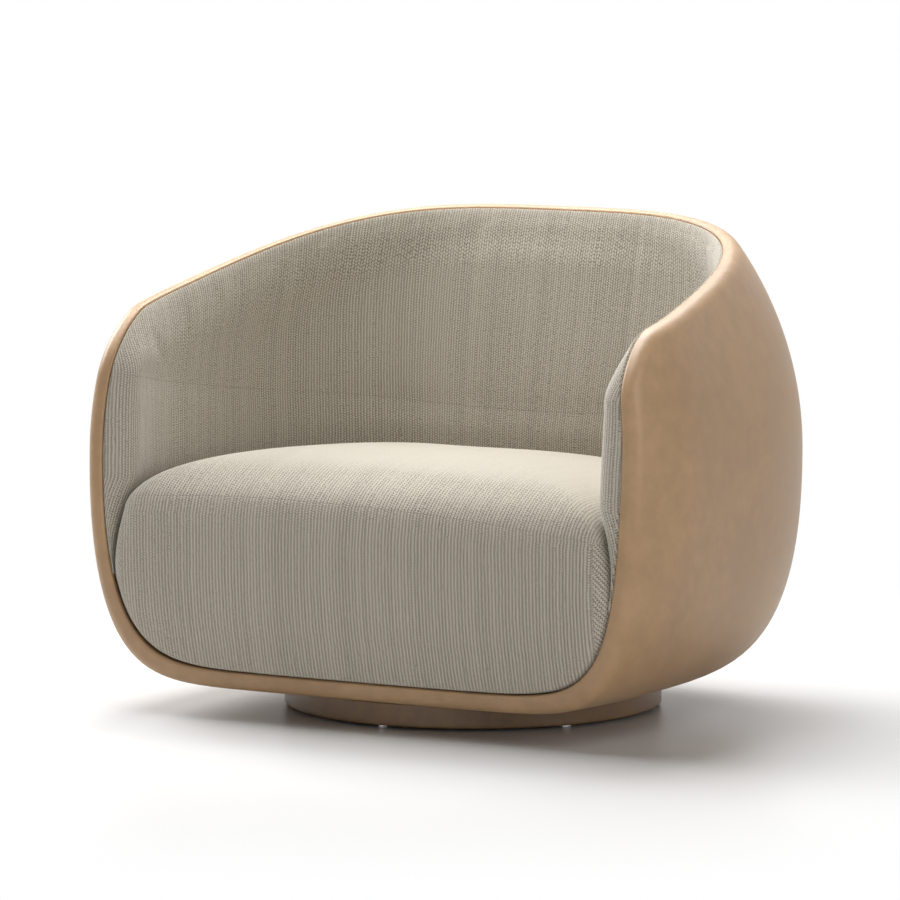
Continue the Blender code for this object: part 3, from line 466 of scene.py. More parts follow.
def pad_give(height, face_uv, inside):
    """How freely the pad's face may swell: 0 at its tail, its edge and its seams, 1 away from them."""
    level_seam = face_uv[..., 1] - PAD_SEAM_RISE * face_uv[..., 0] ** 2 - PAD_SEAM_HEIGHT
    upright_seam = face_uv[..., 0] - PAD_SEAM_SPACING
    give = ease((height - 0.34) / 0.05) * ease(inside / 0.03)
    return give * ease(np.abs(level_seam) / SEAM_DENT) * ease(np.abs(upright_seam) / SEAM_DENT)


def make_pad():
    """Face, soft roll towards the outline, tucked edge and back of the pad, with its weave coordinates.

    At a distance d inside the outline and with a roll of width w, the thickness is the edge's plus the
    rest times 1 - (1 - d / w)^2 to a power: 0.5 on the nose, a quarter of an ellipse, 0.85 at the top.
    Where the tail is thinner than the edge, the edge's loops are drawn in to the shell.
    """
    stations, along = clustered_stations()
    levels = np.linspace(PAD_TAIL_HEIGHT, PAD_EVEN_TOP, PAD_LOWER_ROWS + 1)
    shares = 1 - (1 - np.linspace(0, 1, PAD_UPPER_ROWS + 1)[1:]) ** 1.7

    def flat_layer(thickness, depth):
        """Points, stations and heights of a layer of one thickness."""
        return layer(stations, levels, shares, even_inset(PAD_BASE + thickness), depth)

    edge_inset = PAD_BASE + PAD_EDGE_THICKNESS
    sharp = sharp_layer(stations, levels, shares, even_inset(edge_inset), PAD_SETBACK)
    inside, forward, up = outline_place(wall_point(*sharp, edge_inset, PAD_SETBACK), PAD_SETBACK)
    _, marks, heights = flat_layer(PAD_EDGE_THICKNESS, PAD_SETBACK)
    top_roll = PAD_TOP_ROLL + (PAD_BACK_ROLL - PAD_TOP_ROLL) * ease(marks - PAD_BACK_ROLL_STATION)
    width = PAD_FRONT_ROLL * forward**2 + top_roll * (1 - forward**2)
    short = 1 - np.clip(inside / width, 0, 1)
    swell = (1 - short**2) ** (PAD_NOSE_POWER + (PAD_TOP_POWER - PAD_NOSE_POWER) * (1 - forward**2))
    tall = pad_thickness(marks, heights) - PAD_EDGE_THICKNESS
    face = wall_point(marks, heights, edge_inset + tall * swell, PAD_SETBACK)
    turn = np.arcsin(np.clip(short, 0, 1))
    excess = np.where(short > 0, (width + tall) / 2 * turn - width * short, 0)
    reach = np.interp(marks, stations, along)
    face_uv = np.stack([reach + excess * forward, heights + excess * up], axis=-1)
    slim = rim_loop(np.minimum(pad_thickness(marks, heights) / PAD_EDGE_THICKNESS, 1))[:, None]
    bare = rim_loop(flat_layer(0.0, PAD_SETBACK)[0])
    loops = [rim_loop(face)]
    for thickness, depth in pad_tuck():
        back = flat_layer(thickness, depth)[0]
        loop = rim_loop(back)
        loops.append(loop + (bare - loop) * (1 - slim) * thickness / PAD_EDGE_THICKNESS)
    steps = [np.linalg.norm(after - before, axis=1).mean() for before, after in zip(loops, loops[1:])]
    walk = np.concatenate([[0.0], np.cumsum(steps)])
    ways = rim_loop(np.stack([forward, up], axis=-1))
    loops_uv = rim_loop(face_uv) + walk[:, None, None] * ways
    give = pad_give(face[..., 2], face_uv, inside)
    whole_uv = both_sides(face_uv)
    cloth = [
        (whole_uv, np.concatenate([give, give[::-1][1:]])),
        (np.stack([both_sides(row) for row in loops_uv]), 0.0),
        (whole_uv, 0.0),
        (whole_uv[:, :2], 0.0),
    ]
    whole_loops = np.stack([both_sides(loop) for loop in loops])
    tail = np.stack([both_sides(back)[:, 0], both_sides(face)[:, 0]], axis=1)
    pad = make_piece("fabric_pad", [both_sides(face), whole_loops, both_sides(back), tail], cloth)
    close_holes(pad)
    return pad


def close_holes(piece):
    """Closes the small end faces that the sheets leave open."""
    bm = bmesh.new()
    bm.from_mesh(piece.data)
    open_edges = [edge for edge in bm.edges if edge.is_boundary]
    bmesh.ops.holes_fill(bm, edges=open_edges, sides=0)
    bmesh.ops.recalc_face_normals(bm, faces=bm.faces)
    bm.to_mesh(piece.data)
    bm.free()
    piece.data.shade_smooth()


# Seat


def seat_wall(station, height):
    """Where the seat's side runs: a clearance inside the pad, or inside the bare shell below it."""
    tail = PAD_TAIL_THICKNESS * ease(1 + (height - PAD_TAIL_HEIGHT) / PAD_TAIL_HEIGHT * 4)
    pad = np.where(height > PAD_TAIL_HEIGHT, pad_thickness(station, height), tail)
    return wall_point(station, height, PAD_BASE + pad + SEAT_CLEARANCE)


def sloped(height, x, y):
    """A height near the seat's shoulder, raised by x squared and lowered in proportion to y."""
    near_top = ease((height - PAD_TAIL_HEIGHT) / (SEAT_SHOULDER_HEIGHT - PAD_TAIL_HEIGHT))
    return height + near_top * (SEAT_SIDE_RISE * x**2 - SEAT_FALL * (y - SEAT_CENTRE))


def side_reach(angle, height):
    """Distance from the seat's centre to its side wall at a bearing and height, found by halving."""
    low, high = np.zeros(angle.shape), np.full(angle.shape, 2.0)
    for _ in range(34):
        middle = (low + high) / 2
        wall = seat_wall(middle, height)
        before = np.arctan2(wall[..., 1] - SEAT_CENTRE, wall[..., 0]) < angle
        low, high = np.where(before, middle, low), np.where(before, high, middle)
    wall = seat_wall(low, height)
    first = seat_wall(np.zeros(angle.shape), height)
    first_angle = np.arctan2(first[..., 1] - SEAT_CENTRE, first[..., 0])
    straight = first[..., 0] / np.maximum(np.cos(angle), 1e-6)
    return np.where(angle < first_angle, straight, np.hypot(wall[..., 0], wall[..., 1] - SEAT_CENTRE))


def seat_face(height, sine):
    """Distance of the bowed front face before the seat's centre: the bow grows up to half the height."""
    share = np.clip((height - SEAT_BOTTOM) / (SEAT_CROWN_HEIGHT - SEAT_BOTTOM), 0, 0.5)
    bulge = SEAT_FRONT_BULGE * np.sin(math.pi * share) ** 0.5 - SEAT_FRONT_SETBACK
    return SEAT_CENTRE - front_line(height) + bulge - SEAT_FRONT_CURVE * (1 - sine)


def seat_point(angle, height):
    """Point of the seat's wall at a bearing and height.

    The distances to the side and to the front, s and f, give (s^-n + f^-n)^(-1/n), a round corner.
    """
    sine = np.clip(-np.sin(angle), 1e-6, 1)
    first = side_reach(angle, height)
    level = sloped(height, first * np.cos(angle), SEAT_CENTRE + first * np.sin(angle))
    side, front = side_reach(angle, level), seat_face(height, sine) / sine
    power = SEAT_CORNER_SHARPNESS
    reach = (side**-power + front**-power) ** (-1 / power)
    x = np.where(np.abs(np.abs(angle) - math.pi / 2) < 1e-9, 0, reach * np.cos(angle))
    y = SEAT_CENTRE + reach * np.sin(angle)
    return np.stack([x, y, sloped(height, x, y)], axis=-1)


def corner_bearing(height):
    """Bearing of the seam between the seat's front panel and its side panel."""
    return -np.arctan2(seat_face(height, SEAT_CORNER_SINE), SEAT_SEAM_WIDTH)


def seat_bearings():
    """Shares of the way from the front's middle to its seam, and on to the back's middle."""
    front = np.linspace(0, 1, SEAT_FRONT_CELLS // 2 + 1)
    fine = np.linspace(0, 1, 400)
    corner = corner_bearing(SEAT_SPACING_HEIGHT)
    angle = corner + fine * (math.pi / 2 - corner)
    path = seat_point(angle, np.full(400, SEAT_SPACING_HEIGHT))
    side = evenly(path, fine, SEAT_SIDE_CELLS + SEAT_FRONT_CELLS // 2)
    return front, side


def bearing_at(front, side, height):
    """Bearings of the half perimeter at a height: even in x on the front, then round to the back."""
    corner = corner_bearing(height)
    x = front * SEAT_SEAM_WIDTH
    sine = SEAT_CORNER_SINE + (1 - SEAT_CORNER_SINE) * (1 - front)
    ahead = -np.arctan2(seat_face(height, sine), x)
    ahead = np.where(front == 0, -math.pi / 2, ahead)
    behind = corner + side[1:] * (math.pi / 2 - corner)
    return np.concatenate([np.broadcast_to(ahead, front.shape), behind])


def mirrored(half, signs):
    """Rows round the whole seat from the rows of its right half."""
    return np.concatenate([half, (half * np.array(signs))[:, ::-1][:, 1:]], axis=1)


def make_seat():
    """Tight seat: tall bowed front, one round dome from its shoulder, and a hollow for the frame below.

    The weave's u runs round the wall and across the dome, its v up the wall and back over the dome.
    """
    front, side = seat_bearings()
    rise = np.linspace(0, 1, SEAT_WALL_ROWS + 1) ** SEAT_ROW_POWER
    levels = SEAT_BOTTOM + (SEAT_SHOULDER_HEIGHT - SEAT_BOTTOM) * rise
    places = len(front) + len(side) - 1
    half = np.stack([seat_point(bearing_at(front, side, z), np.full(places, z)) for z in levels])
    ring = mirrored(half, (-1, 1, 1))
    top = seat_dome(half[-1])
    floor = seat_floor(ring[0])
    up = np.stack([lengths(column) for column in half.swapaxes(0, 1)], axis=1)
    around = np.stack([lengths(row) for row in half])
    side_uv = np.stack([around, up - up[-1]], axis=-1)
    ring_uv = mirrored(side_uv, (-1, 1))
    across = np.stack([lengths(row) for row in top.swapaxes(0, 1)], axis=1)
    back = np.stack([lengths(column) for column in top], axis=0)
    top_uv = np.stack([across - across[SEAT_FRONT_CELLS // 2], back], axis=-1)
    wall_give = ease((ring[..., 2] - 0.09) / 0.08) * ease((-0.28 - ring[..., 1]) / 0.06)
    top_give = ease((0.42 - np.abs(top[..., 0])) / 0.05) * ease((0.16 - top[..., 1]) / 0.06)
    cloth = [(ring_uv, wall_give * seat_seam_give(ring_uv)), (top_uv, top_give * seat_seam_give(top_uv))]
    cloth += [(sheet[..., :2], 0.0) for sheet in floor]
    return make_piece("fabric_seat", [ring, top, *floor], cloth)


def seat_seam_give(uv):
    """0.6 on the seam between the seat's front and top, 1 away from it."""
    bend = SEAT_SEAM_BEND * np.abs(uv[..., 0]) ** 3
    rise = uv[..., 1] + bend + SEAT_SEAM_LEAN * uv[..., 0] - SEAT_SEAM_HEIGHT
    return 0.6 + 0.4 * ease(np.abs(rise) / SEAM_DENT)


def seat_dome(shoulder):
    """Top on a rectangular grid of nested rings, from the shoulder's half row to the crown.

    At a share s of the way out it lies root of 1 - s^2.9 of the dome's height above the shoulder.
    """
    columns, rows = SEAT_FRONT_CELLS // 2, SEAT_SIDE_CELLS // 2
    across, deep = np.arange(-columns, columns + 1) / columns, np.arange(-rows, rows + 1) / rows
    p, q = np.meshgrid(across, deep, indexing="ij")
    out = np.maximum(np.abs(p), np.abs(q))
    safe = np.maximum(out, 1e-9)
    a, b = np.abs(p) / safe, q / safe
    front_cell = a * columns
    side_cell = columns + (b + 1) / 2 * SEAT_SIDE_CELLS
    back_cell = columns + SEAT_SIDE_CELLS + (1 - a) * columns
    cell = np.where(a >= 1 - 1e-9, side_cell, np.where(b < 0, front_cell, back_cell))
    number = np.arange(len(shoulder))
    edge = np.stack([np.interp(cell, number, shoulder[:, axis]) for axis in range(2)], axis=-1)
    tall = SEAT_CROWN_HEIGHT - SEAT_SHOULDER_HEIGHT
    turns = np.linspace(0, math.pi / 2, 400)
    outs = np.cos(turns) ** (2 / SEAT_DOME_POWER)
    travelled = lengths(np.stack([SEAT_DOME_REACH * outs, tall * np.sin(turns)], axis=-1))
    turn = np.interp((1 - out) * travelled[-1], travelled, turns)
    share = np.where(out == 0, 0, np.cos(turn) ** (2 / SEAT_DOME_POWER))
    x = edge[..., 0] * share * np.sign(p)
    y = SEAT_CENTRE + (edge[..., 1] - SEAT_CENTRE) * share
    return np.stack([x, y, sloped(SEAT_SHOULDER_HEIGHT, x, y) + tall * np.sin(turn)], axis=-1)


def seat_floor(ring):
    """Underside: a rim inwards to the frame's hollow, its walls and its flat roof."""
    low, high = np.array(SEAT_HOLLOW_LOW), np.array(SEAT_HOLLOW_HIGH)
    x = low[0] + (high[0] - low[0]) * np.linspace(0, 1, SEAT_FRONT_CELLS + 1)
    y = low[1] + (high[1] - low[1]) * np.linspace(0, 1, SEAT_SIDE_CELLS + 1)
    grid = np.stack(np.meshgrid(x, y, indexing="ij"), axis=-1)
    half = SEAT_FRONT_CELLS // 2
    right, left = [grid[half:, 0], grid[-1, 1:]], [grid[0, :-1][::-1], grid[1 : half + 1, 0]]
    border = np.concatenate([*right, grid[:-1, -1][::-1], *left])
    bottom = np.concatenate([border, np.full((len(border), 1), SEAT_BOTTOM)], axis=1)
    upper = np.concatenate([border, np.full((len(border), 1), SEAT_HOLLOW_ROOF)], axis=1)
    roof = np.concatenate([grid, np.full((*grid.shape[:2], 1), SEAT_HOLLOW_ROOF)], axis=2)
    return [np.stack([ring, bottom]), np.stack([bottom, upper]), roof]


# Plinth


def make_plinth_wrap():
    """Leather band turned round Z: two folds, rounded edges and a straight wall."""
    radius, edge, skin = PLINTH_RADIUS, PLINTH_EDGE_ROUND, WRAP_THICKNESS
    across, up = quarter(6, edge)
    profile = [(radius - WRAP_FOLD, PLINTH_HIGH), (radius - 2 * edge, PLINTH_HIGH)]
    profile += [(radius - a, PLINTH_HIGH - b) for a, b in zip(across[::-1], up[::-1])]
    rise = np.linspace(1, 0, 9)[1:-1]
    low, high = PLINTH_LOW + edge, PLINTH_HIGH - edge
    profile += [(radius, low + (high - low) * share) for share in rise]
    profile += [(radius - a, PLINTH_LOW + b) for a, b in zip(across, up)]
    profile += [(radius - WRAP_FOLD, PLINTH_LOW), (radius - WRAP_FOLD, PLINTH_LOW + skin)]
    profile += [(radius - skin, PLINTH_LOW + skin), (radius - skin, PLINTH_HIGH - skin)]
    profile += [(radius - WRAP_FOLD, PLINTH_HIGH - skin), (radius - WRAP_FOLD, PLINTH_HIGH)]
    return make_piece("plinth_band", [turned(*np.array(profile).T, PLINTH_STEPS)])


def turned(out, height, steps):
    """Surface of a profile turned round Z: radius times cosine and sine of the turn, and its height."""
    turn = np.linspace(0, 2 * math.pi, steps + 1)[:, None]
    heights = np.broadcast_to(height, (len(turn), len(out)))
    return np.stack([out * np.cos(turn), out * np.sin(turn), heights], axis=-1)


# Materials


class Wire:
    """A socket of a material, so that sums, products and powers of wires add Math nodes."""

    def __init__(self, tree, socket=None):
        self.tree, self.socket = tree, socket

    def node(self, kind, settings=None, inputs=None, output=0):
        """Adds a node: first its settings, a ramp's stops among them, then its sockets' values or links."""
        made = self.tree.nodes.new(kind)
        for name, value in (settings or {}).items():
            if name == "stops":
                ramp = made.color_ramp.elements
                while len(ramp) < len(value):
                    ramp.new(0.5)
                for element, (place, colour) in zip(ramp, value):
                    element.position, element.color = place, (*colour, 1)
            else:
                setattr(made, name, value)
        for name, value in (inputs or {}).items():
            if isinstance(value, Wire):
                self.tree.links.new(value.socket, made.inputs[name])
            else:
                made.inputs[name].default_value = value
        return Wire(self.tree, made.outputs[output])

    def math(self, operation, *values):
        """A Math node on wires and numbers."""
        return self.node("ShaderNodeMath", {"operation": operation}, dict(enumerate(values)))

    def __add__(self, other):
        return self.math("ADD", self, other)

    def __radd__(self, other):
        return self.math("ADD", other, self)

    def __sub__(self, other):
        return self.math("SUBTRACT", self, other)

    def __rsub__(self, other):
        return self.math("SUBTRACT", other, self)

    def __mul__(self, other):
        return self.math("MULTIPLY", self, other)

    def __rmul__(self, other):
        return self.math("MULTIPLY", other, self)

    def __truediv__(self, other):
        return self.math("DIVIDE", self, other)

    def __pow__(self, other):
        return self.math("POWER", self, other)

    def smooth(self, low, high):
        """0 below low, 1 above high, a smooth step between."""
        settings = {"interpolation_type": "SMOOTHSTEP"}
        return self.node("ShaderNodeMapRange", settings, {"Value": self, "From Min": low, "From Max": high})

    def mix(self, first, second):
        """Colour between first and second, by this wire."""
        settings = {"data_type": "RGBA"}
        return self.node("ShaderNodeMix", settings, {0: self, 6: colour(first), 7: colour(second)}, 2)

    def noise(self, where, scale, detail=2.0, roughness=0.5):
        """Smooth random values from 0 to 1 at places of a vector wire."""
        inputs = {"Vector": where, "Scale": scale, "Detail": detail, "Roughness": roughness}
        return self.node("ShaderNodeTexNoise", None, inputs)

    def place(self, x=0.0, y=0.0, z=0.0):
        """A vector from its three parts."""
        return self.node("ShaderNodeCombineXYZ", None, {"X": x, "Y": y, "Z": z})

    def split(self, vector):
        """The three parts of a vector."""
        return [self.node("ShaderNodeSeparateXYZ", None, {0: vector}, output) for output in range(3)]

    def stretched(self, vector, scale):
        """A vector with each part times its own scale."""
        return self.node("ShaderNodeVectorMath", {"operation": "MULTIPLY"}, {0: vector, 1: scale})

    def bump(self, height, distance, strength=1.0, below=None):
        """A normal tilted by a height in metres times distance, over the normal below."""
        inputs = {"Height": height, "Distance": distance, "Strength": strength}
        if below:
            inputs["Normal"] = below
        return self.node("ShaderNodeBump", None, inputs)


def colour(value):
    """A wire as it is, or a colour with its alpha."""
    return value if isinstance(value, Wire) else (*value, 1.0)


def new_finish(name, **constants):
    """A material with its Principled shader's constants set, and a wire to add nodes with."""
    material = bpy.data.materials.new(name)
    material.use_nodes = True
    tree = material.node_tree
    shader = tree.nodes["Principled BSDF"]
    for socket, value in constants.items():
        shader.inputs[socket.replace("_", " ")].default_value = value
    return material, Wire(tree), shader


def feed(shader, **wires):
    """Links wires to the shader's sockets by name."""
    for socket, wire in wires.items():
        shader.id_data.links.new(wire.socket, shader.inputs[socket.replace("_", " ")])


def leather_finish(name, light, dark, rough):
    """Smooth leather: cloudy colour, pores, fine grain, and soft creases on the shoulder of the shell."""
    material, wire, shader = new_finish(name, Specular_IOR_Level=0.6)
    where = wire.node("ShaderNodeTexCoord", output=3)
    cloud = wire.noise(where, 5.0, 3.0, 0.55)
    blotch = wire.noise(where, 38.0, 3.0, 0.6)
    cells = {"feature": "DISTANCE_TO_EDGE"}
    pores = wire.node("ShaderNodeTexVoronoi", cells, {"Vector": where, "Scale": 900.0})
    grain = wire.noise(where, 520.0, 2.0, 0.6)
    _, _, z = wire.split(where)
    crease = wire.noise(wire.stretched(where, (34.0, 34.0, 9.0)), 1.0, 2.0, 0.5)
    near_top = z.smooth(0.48, 0.70)
    tone = (cloud * 0.55 + blotch * 0.45).smooth(0.32, 0.68)
    feed(
        shader,
        Base_Color=tone.mix(dark, light),
        Roughness=rough + (blotch - 0.5) * 0.22 + (cloud - 0.5) * 0.14,
        Normal=wire.bump(
            crease * near_top * 2.4 + cloud * 0.9,
            0.0012,
            0.6,
            wire.bump(grain * 0.5 + pores.smooth(0.0, 0.12) * 0.5, 0.00012, 0.5),
        ),
    )
    return material


def woven(wire, u, v):
    """Height and tone of the ribbed weave at places u across the ribs and v along them, in metres.

    Arch is a sine squared across a rib's pitch and pick one along a weft's, shifted by half a weft on
    every second rib. The height is 1 - (1 - arch) (1 - 0.85 pick), which leaves dark holes between the
    ribs. Flecks, long slubs and each rib's own shade vary the tone, and noise makes the ribs drift.
    """
    plane = wire.place(u, v)
    drift = wire.noise(plane, 7.0, 2.0, 0.5) - 0.5
    shake = wire.noise(wire.stretched(plane, (120.0, 60.0, 1.0)), 1.0, 1.0, 0.5) - 0.5
    across = (u + drift * 0.005 + shake * 0.0016) / RIB_PITCH
    rib = across.math("FLOOR", across)
    chance = wire.node("ShaderNodeTexWhiteNoise", {"noise_dimensions": "1D"}, {"W": rib})
    along = v / WEFT_PITCH + rib * 0.5 + chance * 0.2 + shake * 0.5
    arch = wire.math("SINE", across * math.pi) ** 2.0
    pick = wire.math("SINE", along * math.pi) ** 2.0
    height = 1 - (1 - arch) * (1 - 0.85 * pick)
    fleck = wire.noise(wire.stretched(plane, (1.6 / RIB_PITCH, 0.9 / WEFT_PITCH, 1.0)), 1.0, 1.0, 0.5)
    slub = wire.noise(wire.stretched(plane, (1 / RIB_PITCH, 40.0, 1.0)), 1.0, 2.0, 0.6)
    depth = 0.45 + slub.smooth(0.30, 0.70) * 0.85
    streak = (fleck - 0.5) * 1.35 + (slub - 0.5) * 1.1 + (chance - 0.5) * 0.20
    tone = 0.97 + (height - 1) * depth * 1.35 + (pick - 0.5) * 0.30 + streak
    return height, tone


def weave_finish(name, seam):
    """Ribbed grey-beige cloth. seam gives the seams' mask, which dents them and paints shade along them,
    and may turn the weave on some panels.
    """
    material, wire, shader = new_finish(
        name, Roughness=0.92, Specular_IOR_Level=0.25, Sheen_Weight=0.35, Sheen_Roughness=0.5
    )
    uv = wire.node("ShaderNodeUVMap", {"uv_map": "weave"})
    u, v, _ = wire.split(uv)
    height, tone, line = seam(wire, u, v)
    shade = wire.noise(wire.place(u, v), 6.0, 2.0, 0.5)
    body = tone.smooth(0.0, 1.0).mix(YARN_DARK, YARN_LIGHT)
    tinted = (shade * 0.3).mix(body, YARN_FADED)
    feed(
        shader,
        # Painted shade: the seams are darkened in the base colour for the shadow in their grooves, beside
        # their bump.
        Base_Color=(line * 0.55).mix(tinted, SEAM_PAINTED_SHADE),
        Normal=wire.bump(height * 0.8 - line * 0.9, 0.0009, 0.55),
    )
    return material


def seam_line(wire, distance, width=0.0011):
    """1 on a seam, 0 away from it, from the distance to it."""
    return 1 - wire.math("ABSOLUTE", distance).smooth(0.2 * width, width)


def pad_seams(wire, u, v):
    """A level seam at v = 0.433 + 0.078 u^2 and two upright ones, 0.195 to each side of the middle."""
    height, tone = woven(wire, u, v)
    level = seam_line(wire, v - u * u * PAD_SEAM_RISE - PAD_SEAM_HEIGHT)
    upright = seam_line(wire, wire.math("ABSOLUTE", u) - PAD_SEAM_SPACING, 0.0016)
    return height, tone, wire.math("MAXIMUM", level * 0.7, upright * 0.5)


def seat_seams(wire, u, v):
    """Seam of the front panel at v = 0.028 - 0.21 |u|^3 - 0.032 u, and seams of the side panels below it.

    The side panels' weave is on the bias; on the top the ribs lean and their contrast is lowered towards an
    even tone.
    """
    far = wire.math("ABSOLUTE", u)
    rise = v + far * far * far * SEAT_SEAM_BEND + u * SEAT_SEAM_LEAN - SEAT_SEAM_HEIGHT
    below = 1 - rise.smooth(-0.0004, 0.0004)
    side = far.smooth(SEAT_SEAM_WIDTH - 0.0002, SEAT_SEAM_WIDTH + 0.0002) * below
    leaning = wire.place(u - rise * (1 - below) * 0.12, v)
    straight = side.mix(leaning, wire.place((u + v) * 0.7071, (v - u) * 0.7071))
    u_panel, v_panel, _ = wire.split(straight)
    height, tone = woven(wire, u_panel, v_panel)
    # On the top the weave's tone is drawn towards 0.66, which lowers its contrast.
    top_flattening = rise.smooth(0.01, 0.13) * 0.80
    tone = tone + (0.66 - tone) * top_flattening
    upright = seam_line(wire, far - SEAT_SEAM_WIDTH) * below
    return height, tone, wire.math("MAXIMUM", seam_line(wire, rise), upright) * 0.7


def wood_finish(name, light, dark, ply=False):
    """Sawn wood: streaks along X; plywood adds thin level plies."""
    material, wire, shader = new_finish(name, Specular_IOR_Level=0.3)
    where = wire.node("ShaderNodeTexCoord", output=3)
    streak = wire.noise(wire.stretched(where, (4.0, 90.0, 90.0)), 1.0, 3.0, 0.6)
    tone = streak
    if ply:
        _, _, z = wire.split(where)
        tone = streak * 0.6 + wire.math("ABSOLUTE", wire.math("SINE", z * 1800.0)) * 0.4
    feed(
        shader,
        Base_Color=tone.smooth(0.3, 0.7).mix(dark, light),
        Roughness=0.6 + streak * 0.25,
        Normal=wire.bump(streak, 0.0004, 0.5),
    )
    return material


def webbing_finish():
    """Black elastic webbing: narrow cross ribs with a light fleck."""
    material, wire, shader = new_finish("elastic_webbing", Roughness=0.9, Specular_IOR_Level=0.2)
    where = wire.node("ShaderNodeTexCoord", output=3)
    x, y, _ = wire.split(where)
    rib = wire.math("ABSOLUTE", wire.math("SINE", (x + y) * 1500.0))
    fleck = wire.noise(where, 300.0, 2.0, 0.5)
    feed(
        shader,
        Base_Color=(rib * 0.5 + fleck * 0.5).mix((0.03, 0.028, 0.025), (0.16, 0.145, 0.13)),
        Normal=wire.bump(rib, 0.0004, 0.6),
    )
    return material


def metal_finish(name, tint, rough, blotches):
    """Metal with cloudy roughness: zinc plate when the blotches are strong, polished when weak."""
    material, wire, shader = new_finish(name, Metallic=1.0)
    where = wire.node("ShaderNodeTexCoord", output=3)
    cloud = wire.noise(where, 60.0, 3.0, 0.6)
    scratch = wire.noise(wire.stretched(where, (900.0, 40.0, 40.0)), 1.0, 2.0, 0.5)
    darker = tuple(0.75 * part for part in tint)
    feed(
        shader,
        Base_Color=(cloud * blotches).mix(tint, darker),
        Roughness=rough + (cloud - 0.5) * blotches * 0.3 + (scratch - 0.5) * 0.1,
        Normal=wire.bump(scratch, 0.0001, 0.3),
    )
    return material


def nylon_finish():
    """Natural nylon: faint flow marks in a milky colour."""
    material, wire, shader = new_finish("natural_nylon", Specular_IOR_Level=0.4)
    where = wire.node("ShaderNodeTexCoord", output=3)
    flow = wire.noise(wire.stretched(where, (40.0, 120.0, 40.0)), 1.0, 2.0, 0.5)
    feed(
        shader,
        Base_Color=flow.mix((0.62, 0.59, 0.52), (0.78, 0.76, 0.70)),
        Roughness=0.42 + flow * 0.2,
        Normal=wire.bump(flow, 0.0002, 0.3),
    )
    return material


# Studio


def add_camera():
    """Long lens at the photograph's viewing angle."""
    azimuth, elevation = math.radians(29.69), math.radians(6.39)
    data = bpy.data.cameras.new("camera")
    data.sensor_width, data.lens = 36.0, 243.13
    camera = bpy.data.objects.new("camera", data)
    camera.location = (4.555, -8.0606, 1.4289)
    camera.rotation_euler = (math.pi / 2 - elevation, 0, azimuth)
    bpy.context.scene.collection.objects.link(camera)
    bpy.context.scene.camera = camera


def add_softbox(name, place, aim, size, power):
    """Rectangular lamp at a place, turned towards aim: size in metres, power in watts."""
    data = bpy.data.lights.new(name, "AREA")
    data.shape, data.size, data.size_y, data.energy = "RECTANGLE", size[0], size[1], power
    lamp = bpy.data.objects.new(name, data)
    away = np.array(place) - np.array(aim)
    flat = math.hypot(away[0], away[1])
    lamp.location = place
    lamp.rotation_euler = (math.atan2(flat, away[2]), 0, math.atan2(away[0], -away[1]))
    bpy.context.scene.collection.objects.link(lamp)


def shown_background(wire):
    """1 for rays from the camera and for mirrored and refracted ones."""
    kinds = ("Is Camera Ray", "Is Glossy Ray", "Is Transmission Ray")
    camera, glossy, clear = [wire.node("ShaderNodeLightPath", output=kind) for kind in kinds]
    return wire.math("MAXIMUM", wire.math("MAXIMUM", camera, glossy), clear)


def add_studio():
    """White world and a pale floor that keeps the chair's shadow and fades to white far away."""
    world = bpy.data.worlds.new("studio")
    bpy.context.scene.world = world
    world.use_nodes = True
    tree = world.node_tree
    back = tree.nodes["Background"]
    back.inputs["Color"].default_value = (1, 1, 1, 1)
    seen = shown_background(Wire(tree))
    tree.links.new((seen * (1 - AMBIENT) + AMBIENT).socket, back.inputs["Strength"])
    rings = np.array([0.0, 0.5, 1.0, 2.0, 4.0, 9.0])
    floor = make_piece("studio_floor", [turned(rings, np.zeros(len(rings)), 96)])
    if floor.data.polygons[0].normal.z < 0:
        floor.data.flip_normals()
    material, wire, shader = new_finish("floor_paint", Roughness=0.35, Specular_IOR_Level=0.3)
    where = wire.node("ShaderNodeTexCoord", output=3)
    speck = wire.noise(where, 3.0, 2.0, 0.5)
    feed(shader, Base_Color=speck.mix((0.72, 0.717, 0.713), (0.74, 0.737, 0.733)))
    x, y, _ = wire.split(where)
    far = ((x * x + y * y) ** 0.5).smooth(0.65, 1.6)
    glow = wire.node("ShaderNodeEmission", None, {"Color": (1, 1, 1, 1), "Strength": 1.0})
    paint = Wire(wire.tree, shader.outputs[0])
    blend = wire.node("ShaderNodeMixShader", None, {0: far * shown_background(wire), 1: paint, 2: glow})
    output = next(node for node in wire.tree.nodes if node.type == "OUTPUT_MATERIAL")
    wire.tree.links.new(blend.socket, output.inputs["Surface"])
    floor.data.materials.append(material)
    middle = (0.0, 0.0, 0.4)
    add_softbox("overhead_softbox", (-0.6, 0.1, 2.7), (0.0, 0.05, 0.4), (2.2, 1.8), 72)
    add_softbox("rear_overhead_softbox", (-0.5, 1.3, 2.6), (0.0, 0.05, 0.4), (2.0, 1.4), 50)
    add_softbox("left_softbox", (-2.9, 0.3, 2.1), middle, (1.8, 1.5), 92)
    add_softbox("front_softbox", (0.6, -3.4, 0.9), middle, (1.8, 1.2), 10)
    add_softbox("right_softbox", (2.6, -1.4, 2.4), middle, (1.8, 1.5), 24)
    add_softbox("low_right_softbox", (3.1, -0.9, 1.0), middle, (1.8, 1.2), 16)


# Assembly


def dress(piece, material, body, slot, *nodes):
    """Gives a piece its finish and the body it moves with, and hides the nodes it stands for."""
    piece.data.materials.clear()
    piece.data.materials.append(material)
    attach(piece, body)
    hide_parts(*nodes)


